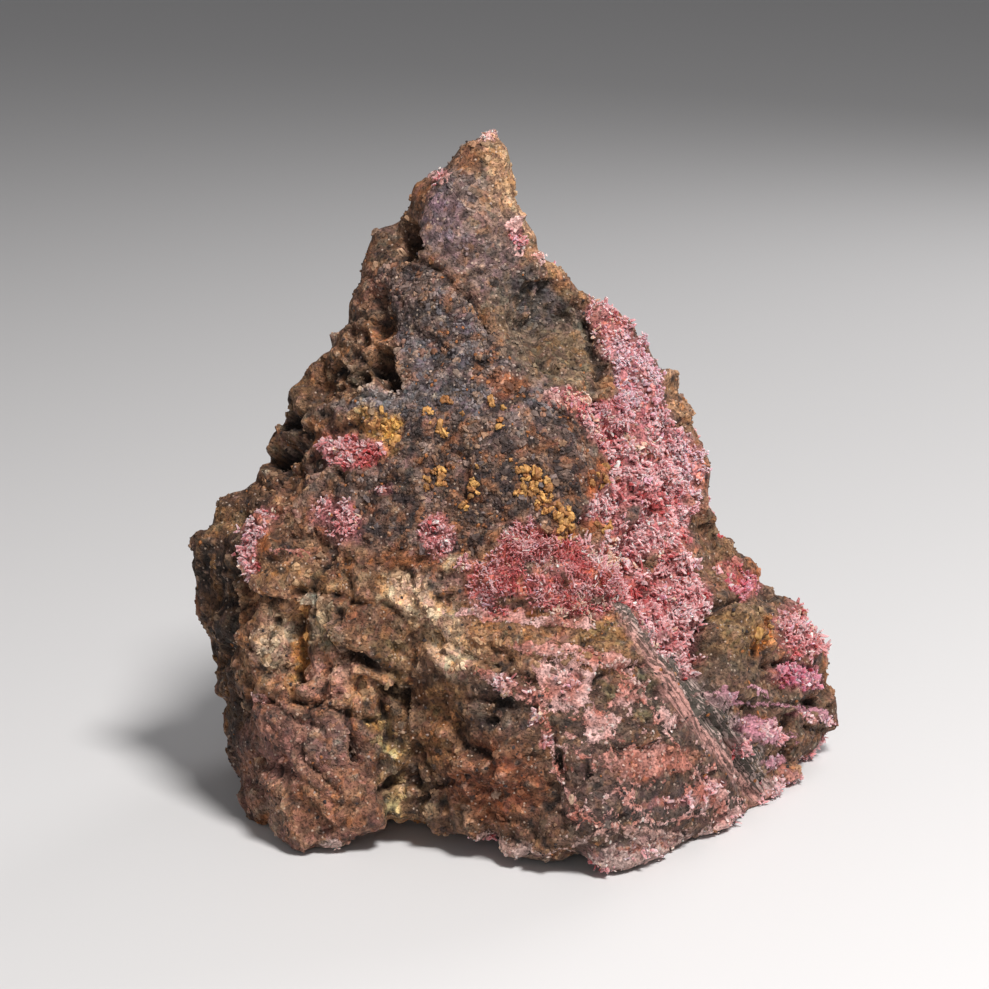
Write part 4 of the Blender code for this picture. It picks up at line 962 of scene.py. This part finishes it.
def grown_material(name, roughness, specular, coat=0.0, sub=0.0):
    m = bpy.data.materials.new(name)
    m.use_nodes = True
    t = m.node_tree
    s = t.nodes["Principled BSDF"]
    tint = t.nodes.new("ShaderNodeVertexColor")
    tint.layer_name = "tint"
    where = t.nodes.new("ShaderNodeTexCoord")
    fine = t.nodes.new("ShaderNodeTexNoise")
    fine.inputs["Scale"].default_value = 3200
    fine.inputs["Detail"].default_value = 3
    link(t, where.outputs["Object"], fine.inputs["Vector"])
    ramp = t.nodes.new("ShaderNodeMapRange")
    ramp.inputs["From Min"].default_value = 0.3
    ramp.inputs["From Max"].default_value = 0.7
    ramp.inputs["To Min"].default_value = 0.75
    ramp.inputs["To Max"].default_value = 1.25
    link(t, fine.outputs["Fac"], ramp.inputs["Value"])
    mixed = t.nodes.new("ShaderNodeVectorMath")
    mixed.operation = "SCALE"
    link(t, tint.outputs["Color"], mixed.inputs[0])
    link(t, ramp.outputs["Result"], mixed.inputs["Scale"])
    link(t, mixed.outputs["Vector"], s.inputs["Base Color"])
    s.inputs["Roughness"].default_value = roughness
    s.inputs["Specular IOR Level"].default_value = specular
    s.inputs["Coat Weight"].default_value = coat
    s.inputs["Coat Roughness"].default_value = 0.2
    if sub:
        s.inputs["Subsurface Weight"].default_value = sub
        s.inputs["Subsurface Radius"].default_value = (1.0, 0.5, 0.5)
        s.inputs["Subsurface Scale"].default_value = 0.0009
    return m


# ------------------------------------------------------------------------------------------- build
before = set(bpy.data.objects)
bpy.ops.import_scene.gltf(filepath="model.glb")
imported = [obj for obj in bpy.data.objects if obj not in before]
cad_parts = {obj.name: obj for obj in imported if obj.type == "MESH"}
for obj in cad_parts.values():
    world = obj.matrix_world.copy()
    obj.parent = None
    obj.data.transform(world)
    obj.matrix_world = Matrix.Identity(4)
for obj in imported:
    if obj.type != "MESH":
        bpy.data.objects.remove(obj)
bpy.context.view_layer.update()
rng = np.random.default_rng(20)

mesh = fine_skin(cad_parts["rock"], 0.585)
p0, n0 = read(mesh)
edges = neighbours(mesh)
n_soft = even_out(n0, edges, 8)
n_soft /= np.linalg.norm(n_soft, axis=1)[:, None]
u0, v0 = drawn(p0)
towards = EYE - p0
towards /= np.linalg.norm(towards, axis=1)[:, None]
facing = (n_soft * towards).sum(1)
front = step(-0.08, 0.10, facing)
seen_back = 1 - step(-0.25, 0.0, facing)
close = step(-0.22, -0.10, facing)
crust0 = crust_of(p0, u0, v0, front)
d = even_out(relief(p0, n_soft, u0, v0, front, close), edges, 1)
edge_on = 0.75 * (1 - step(0.12, 0.42, np.abs(facing)))
d += (even_out(d, edges, 10) - d) * edge_on
d += 0.20 * step(-0.05, 0.2, crust0)
grow0, deep0 = pink_of(p0, u0, v0, front, seen_back)
# the foot stays flat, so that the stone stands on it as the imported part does
low = step(0.0, 1.2, p0[:, 2])
p = p0 + n_soft * (d * low)[:, None]
p[:, 2] = np.maximum(p[:, 2], 0.0)
hollow = even_out(d, edges, 20) - d
spur = np.exp(-((np.hypot(u0 - 324, v0 - 336) / 11) ** 2))[:, None]
p += (even_out(p, edges, 60) - p) * spur
mesh.vertices.foreach_set("co", (p * MM).astype(np.float32).ravel())
tint = colour_of(p0, n_soft, u0, v0, front, d, hollow, grow0)
# under the crystals the rock is dyed by them
gap0 = step(0.26, 0.46, gnoise(p0, 1.9, 143) + 0.35 * gnoise(p0, 0.8, 144))
under = (np.clip(grow0 * 1.1, 0, 1) * (0.80 - 0.42 * gap0))[:, None]
floor_tint = rgb(198, 138, 142) * (1 - deep0[:, None]) + rgb(170, 82, 80) * deep0[:, None]
tint = tint * (1 - under) + floor_tint * under
put_attribute(mesh, "tint", tint)
put_attribute(mesh, "crust", crust0)
dye = np.clip(0.5 + 0.9 * gnoise(p0, 2.6, 117), 0, 1)[:, None]
dye = np.clip(dye + 0.6 * gnoise(p0, 0.8, 118)[:, None], 0, 1)
crust_tint = rgb(204, 124, 106) * (1 - dye) + rgb(238, 192, 186) * dye
crust_tint += (rgb(188, 118, 100) - crust_tint) * (0.7 * oval(u0, v0, 644, 762, 50, 22, 3, 0.5) * front)[:, None]
crust_tint += (rgb(214, 150, 172) - crust_tint) * (0.75 * area(u0, v0, LOBE, 8) * front)[:, None]
crust_tint += (rgb(196, 178, 168) - crust_tint) * (0.6 * step(816, 836, v0) * front)[:, None]
put_attribute(mesh, "crust_tint", crust_tint)
wob_u, wob_v = u0 + 4 * gnoise(p0, 2.0, 181), v0 + 4 * gnoise(p0, 2.0, 182)
put_attribute(mesh, "streaks", area(wob_u, wob_v, STRIP, 5) * front)
dark_side = step(-7.0, 7.0, (wob_u - 660) * 0.785 - (wob_v - 660) * 0.62 + 3.0)
put_attribute(mesh, "dark_side", dark_side)
mesh.update()
rock = bpy.data.objects.new("rock_skin", mesh)
bpy.context.scene.collection.objects.link(rock)
ends = []
for at in ((636, 622), (722, 744)):
    off = np.hypot(u0 - at[0], v0 - at[1]) + 100 * (front < 0.9)
    ends.append(Vector(p0[np.argmin(off)]))
mesh.materials.append(rock_material((ends[1] - ends[0]).normalized()))
mesh.shade_smooth()
mesh.set_sharp_from_angle(angle=math.radians(34))
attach(rock, "root")
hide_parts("rock")

_, n1 = read(mesh)
area_share = None
tri = np.empty(len(mesh.polygons) * 1, np.float32)
mesh.polygons.foreach_get("area", tri)
corner = np.empty(len(mesh.loops), np.int32)
mesh.loops.foreach_get("vertex_index", corner)
per_poly = np.empty(len(mesh.polygons), np.int32)
mesh.polygons.foreach_get("loop_total", per_poly)
poly_of_corner = np.repeat(np.arange(len(mesh.polygons)), per_poly)
share = np.bincount(corner, (tri / per_poly)[poly_of_corner], len(p)) / (MM * MM)  # mm2 for each vertex


def sow(weight, density, seed):
    """Vertices picked at random, density per mm2 where weight is 1."""
    r = np.random.default_rng(seed)
    chance = np.clip(share * weight * density, 0, None)
    whole = np.floor(chance + r.random(len(chance))).astype(int)
    return np.repeat(np.arange(len(chance)), whole)


def pink_tint(deep, r):
    """A crystal's colour, from pale lilac-pink through rose to deep crimson."""
    k = np.clip(deep + r.normal(0, 0.05, len(deep)), 0, 1)[:, None]
    pale, rose, red = rgb(220, 170, 172), rgb(208, 138, 140), rgb(180, 78, 78)
    out = np.where(k < 0.5, pale + (rose - pale) * k * 2, rose + (red - rose) * (k - 0.5) * 2)
    kind = r.random(len(deep))[:, None]
    out = np.where(kind < 0.03, rgb(218, 158, 176), out)
    out = np.where(kind > 0.975, rgb(240, 214, 208), out)
    return out * r.uniform(0.94, 1.05, (len(deep), 1))


shine = grown_material("erythrite", 0.42, 0.36, 0.0, 0.75)
# sprays: blades that radiate from many small centres
gaps = gap0
inside = step(0.15, 0.40, grow0)
strong = inside * step(0.35, 0.75, grow0 + 0.35 * gnoise(p0, 1.4, 141)) * (1 - 0.8 * gaps)
centres = sow(strong * (1 + 1.2 * area(u0, v0, CENTRAL, 6) * front), 2.05, 5)
dull = 1 - 0.09 * front * step(470, 400, v0)
lilac_zone = front * np.maximum(oval(u0, v0, 640, 372, 40, 46, 30, 0.6), oval(u0, v0, 692, 456, 20, 44, 0, 0.6))
rs = np.random.default_rng(6)
per = rs.integers(4, 7, len(centres))
idx = np.repeat(centres, per)
k = len(idx)
spread = rs.normal(size=(k, 3))
spread /= np.linalg.norm(spread, axis=1)[:, None]
axis = n1[idx] * 0.85 + spread * 0.75
axis /= np.linalg.norm(axis, axis=1)[:, None]
below = (axis * n1[idx]).sum(1) < 0.1
axis[below] += n1[idx][below] * 0.5
axis /= np.linalg.norm(axis, axis=1)[:, None]
jitter = rs.normal(0, 0.24, (k, 3))
base = p[idx] + jitter - n1[idx] * 0.18
size_of = np.repeat(rs.uniform(0.65, 1.25, len(centres)), per)
needles = area(u0, v0, CENTRAL, 6) * front
long = rs.uniform(0.36, 0.72, k) * size_of * (1 - 0.4 * lilac_zone[idx])
tone_of = np.repeat(rs.normal(0, 0.07, len(centres)), per)
drift = 0.55 * gnoise(p0, 2.8, 171) + 0.25 * gnoise(p0, 1.2, 172)
# painted shade and light: blades in hollows are tinted deeper crimson, those on raised parts paler
tone = np.clip(deep0[idx] + tone_of + drift[idx] + 1.0 * np.clip(hollow[idx], -0.4, 0.6), 0, 1)
spray_tint = pink_tint(tone, rs)
cream = np.zeros(len(p0))
for cu, cv, ru, rv in ((640, 443, 13, 15), (615, 551, 15, 13), (572, 404, 20, 9), (604, 604, 24, 8), (560, 612, 30, 6), (600, 425, 10, 14)):
    cream = np.maximum(cream, oval(u0, v0, cu, cv, ru, rv, 0, 0.6) * front)
tan_of = np.repeat(rs.random(len(centres)), per) < (0.03 + 0.55 * cream[idx])
spray_tint = np.where(tan_of[:, None], rgb(222, 172, 152), spray_tint)
spray_tint += (rgb(204, 164, 178) - spray_tint) * (0.7 * lilac_zone[idx])[:, None]
spray_tint *= dull[idx][:, None]
magenta = front * np.maximum(oval(u0, v0, 797, 680, 28, 16, 0, 0.6), 0.6 * oval(u0, v0, 742, 588, 20, 16, 0, 0.6))
spray_tint += (rgb(186, 104, 140) - spray_tint) * (0.5 * magenta[idx])[:, None]
sprays = blades("erythrite_sprays", base, axis, long, rs.uniform(0.13, 0.27, k) * size_of * (1 - 0.66 * needles[idx]),
                rs.uniform(0.07, 0.12, k) * (1 - 0.5 * needles[idx]), spray_tint, rs)
sprays.data.shade_flat()
sprays.data.materials.append(shine)
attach(sprays, "root")

# a carpet of short needles between them, thinning out at the edges
thin = inside * np.clip(grow0 + 0.35 * gnoise(p0, 1.0, 142), 0, 1) ** 1.6 * (1 - 0.7 * gaps)
idx = sow(thin, 6.0, 7)
rc = np.random.default_rng(8)
k = len(idx)
spread = rc.normal(size=(k, 3))
axis = n1[idx] * 0.6 + spread * 0.8
axis /= np.linalg.norm(axis, axis=1)[:, None]
# painted shade and light: needles in hollows are tinted deeper crimson, those on raised parts paler
carpet = blades("erythrite_carpet", p[idx] + rc.normal(0, 0.13, (k, 3)) - n1[idx] * 0.1, axis,
                rc.uniform(0.18, 0.42, k), rc.uniform(0.09, 0.19, k), rc.uniform(0.05, 0.11, k),
                pink_tint(np.clip(deep0[idx] + drift[idx] + 0.8 * np.clip(hollow[idx], -0.4, 0.8), 0, 1), rc), rc)
carpet.data.shade_flat()
carpet.data.materials.append(shine)
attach(carpet, "root")

# the thin crust: small flat flakes that lie on the lower faces
frost0 = step(0.0, 0.3, crust0) * low * (1 - 0.85 * area(u0, v0, STRIP, 6) * front)
idx = sow(frost0 * (1 - 0.7 * grow0), 3.2, 15)
rf = np.random.default_rng(16)
k = len(idx)
tilt = n1[idx] + rf.normal(0, 0.35, (k, 3))
tilt /= np.linalg.norm(tilt, axis=1)[:, None]
mixed = rf.random((k, 1))
flake_tint = (crust_tint[idx] * (1 - 0.4 * mixed) + rgb(228, 184, 176) * 0.4 * mixed) * rf.uniform(0.82, 1.12, (k, 1))
flakes = lumps("erythrite_flakes", p[idx] + rf.normal(0, 0.08, (k, 3)), tilt, rf.uniform(0.06, 0.22, k), flake_tint, 1,
               0.45, 0.28, rf)
flakes.data.materials.append(shine)
flakes.data.shade_flat()
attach(flakes, "root")

# limonite beads
bead_weight = np.zeros(len(p0))
for cu, cv, ru, rv, turn, amount in (
    (528, 474, 13, 7, 15, 12.0), (540, 494, 12, 15, -15, 12.0), (519, 491, 6, 5, 0, 8.0), (560, 516, 10, 8, 30, 9.0),
    (569, 532, 12, 9, 10, 9.0), (548, 506, 8, 6, 0, 8.0), (432, 478, 13, 13, 0, 5.0), (434, 418, 6, 9, -15, 6.0),
    (442, 435, 5, 7, 0, 5.0), (384, 424, 6, 16, 0, 3.5), (394, 446, 6, 16, 0, 3.0), (475, 487, 5, 8, 0, 5.0),
    (464, 503, 5, 6, 0, 4.0), (484, 472, 5, 5, 0, 3.0), (513, 459, 9, 5, 0, 3.0), (500, 400, 16, 10, 0, 1.2),
    (596, 476, 7, 18, 0, 2.0), (756, 636, 12, 12, 0, 2.0), (602, 524, 9, 7, 0, 2.5), (470, 440, 60, 50, 0, 0.10),
):
    bead_weight = np.maximum(bead_weight, amount * oval(u0, v0, cu, cv, ru, rv, turn) * front)
idx = sow(np.ones(len(p0)) * bead_weight, 0.55, 9)
rb = np.random.default_rng(10)
k = len(idx)
shade = rb.random((k, 1))
bead_tint = (rgb(192, 146, 84) * shade + rgb(138, 88, 50) * (1 - shade)) * rb.uniform(0.7, 1.15, (k, 1))
beads = lumps("limonite_beads", p[idx] + n1[idx] * 0.12, n1[idx], rb.uniform(0.12, 0.34, k) * (1 + 0.5 * (rb.random(k) < 0.12)),
              bead_tint, 3, 0.75, 0.95, rb)
beads.data.materials.append(grown_material("limonite", 0.6, 0.4))
beads.data.shade_smooth()
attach(beads, "root")

# grains of the granular skin, and loose-looking crumbs over the rest, in the rock's own colours
gran = area(u0 + 8 * gnoise(p0, 2.0, 151), v0 + 8 * gnoise(p0, 2.0, 152), GRANULAR, 12) * front
idx = sow(np.clip(gran + 0.15 + 0.25 * gnoise(p0, 4.0, 153), 0, 1) * (1 - grow0) * low, 4.5, 12)
rg = np.random.default_rng(13)
k = len(idx)
pick = rg.random((k, 1))
grain_tint = tint[idx] * rg.uniform(0.55, 1.4, (k, 1))
grain_tint = np.where(pick < 0.03, rgb(146, 92, 54), grain_tint)
grain_tint = np.where(pick > 0.975, rgb(150, 132, 124), grain_tint)
grain_tint = np.where((pick > 0.6) & (pick < 0.72), rgb(52, 44, 44), grain_tint)
grains = lumps("rock_grains", p[idx] + n1[idx] * 0.03, n1[idx], rg.uniform(0.08, 0.22, k), grain_tint, 1, 0.5, 0.7, rg)
grains.data.materials.append(grown_material("grains", 0.7, 0.3))
grains.data.shade_flat()
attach(grains, "root")

# angular clods of the rock, larger than the grains
clod_at = (0.12 + 1.1 * gran + 0.5 * step(0.1, 0.4, gnoise(p0, 6.0, 155)) * front) * (1 - grow0) ** 2 * low
clod_at *= 1 - 0.8 * np.clip(area(u0, v0, STRIP, 8) + 0.6 * area(u0, v0, FOOT, 8), 0, 1) * front
idx = sow(np.clip(clod_at, 0, None), 0.65, 14)
rk = np.random.default_rng(15)
k = len(idx)
pick = rk.random((k, 1))
clod_tint = tint[idx] * rk.uniform(0.7, 1.35, (k, 1))
on_gran = gran[idx][:, None] > 0.5
for low_pick, high_pick, tone in ((0.0, 0.16, rgb(140, 88, 54)), (0.16, 0.34, rgb(60, 48, 46)), (0.34, 0.46, rgb(112, 102, 102)),
                                  (0.5, 0.58, rgb(160, 126, 100))):
    clod_tint = np.where(on_gran & (pick >= low_pick) & (pick < high_pick), clod_tint * 0.5 + tone * 0.5, clod_tint)
clods = lumps("rock_clods", p[idx] - n1[idx] * 0.05, n1[idx], rk.uniform(0.15, 0.40, k), clod_tint, 2, 0.8, 0.75, rk)
clods.data.materials.append(grown_material("clods", 0.72, 0.3))
clods.data.shade_flat()
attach(clods, "root")

# ------------------------------------------------------------------------------------------- stage
floor_mesh = bpy.data.meshes.new("floor")
fb = bmesh.new()
bmesh.ops.create_grid(fb, x_segments=1, y_segments=1, size=3.0)
fb.to_mesh(floor_mesh)
fb.free()
floor = bpy.data.objects.new("floor", floor_mesh)
bpy.context.scene.collection.objects.link(floor)
fm = bpy.data.materials.new("floor")
fm.use_nodes = True
fm.node_tree.nodes["Principled BSDF"].inputs["Base Color"].default_value = (0.62, 0.62, 0.63, 1)
fm.node_tree.nodes["Principled BSDF"].inputs["Roughness"].default_value = 0.6
floor_mesh.materials.append(fm)

world = bpy.data.worlds.new("studio")
bpy.context.scene.world = world
world.use_nodes = True
world.node_tree.nodes["Background"].inputs[0].default_value = (0.88, 0.87, 0.88, 1)
world.node_tree.nodes["Background"].inputs[1].default_value = 0.20


def lamp(name, at, size, power, tone):
    data = bpy.data.lights.new(name, "AREA")
    data.shape = "DISK"
    data.size = size
    data.energy = power
    data.color = tone
    obj = bpy.data.objects.new(name, data)
    obj.location = at
    obj.rotation_euler = (Vector((0, 0, 0.03)) - Vector(at)).to_track_quat("-Z", "Y").to_euler()
    bpy.context.scene.collection.objects.link(obj)


lamp("key", (0.12, -0.20, 0.38), 0.11, 2.5, (1.0, 0.97, 0.94))
lamp("fill", (-0.06, -0.45, 0.14), 0.30, 0.30, (1.0, 0.98, 0.97))
lamp("rim", (0.22, 0.30, 0.25), 0.20, 0.5, (1.0, 0.98, 0.97))

cam = bpy.data.cameras.new("camera")
camera = bpy.data.objects.new("camera", cam)
bpy.context.scene.collection.objects.link(camera)
cam.sensor_width = 36
cam.lens = 36 / (98.9 / EYE_DISTANCE)
cam.clip_start = 0.01
camera.location = Vector(EYE * MM)
camera.rotation_euler = Vector(SIGHT).to_track_quat("-Z", "Y").to_euler()
bpy.context.scene.camera = camera

view = bpy.context.scene.view_settings
view.view_transform = "Standard"
view.exposure = 0.0
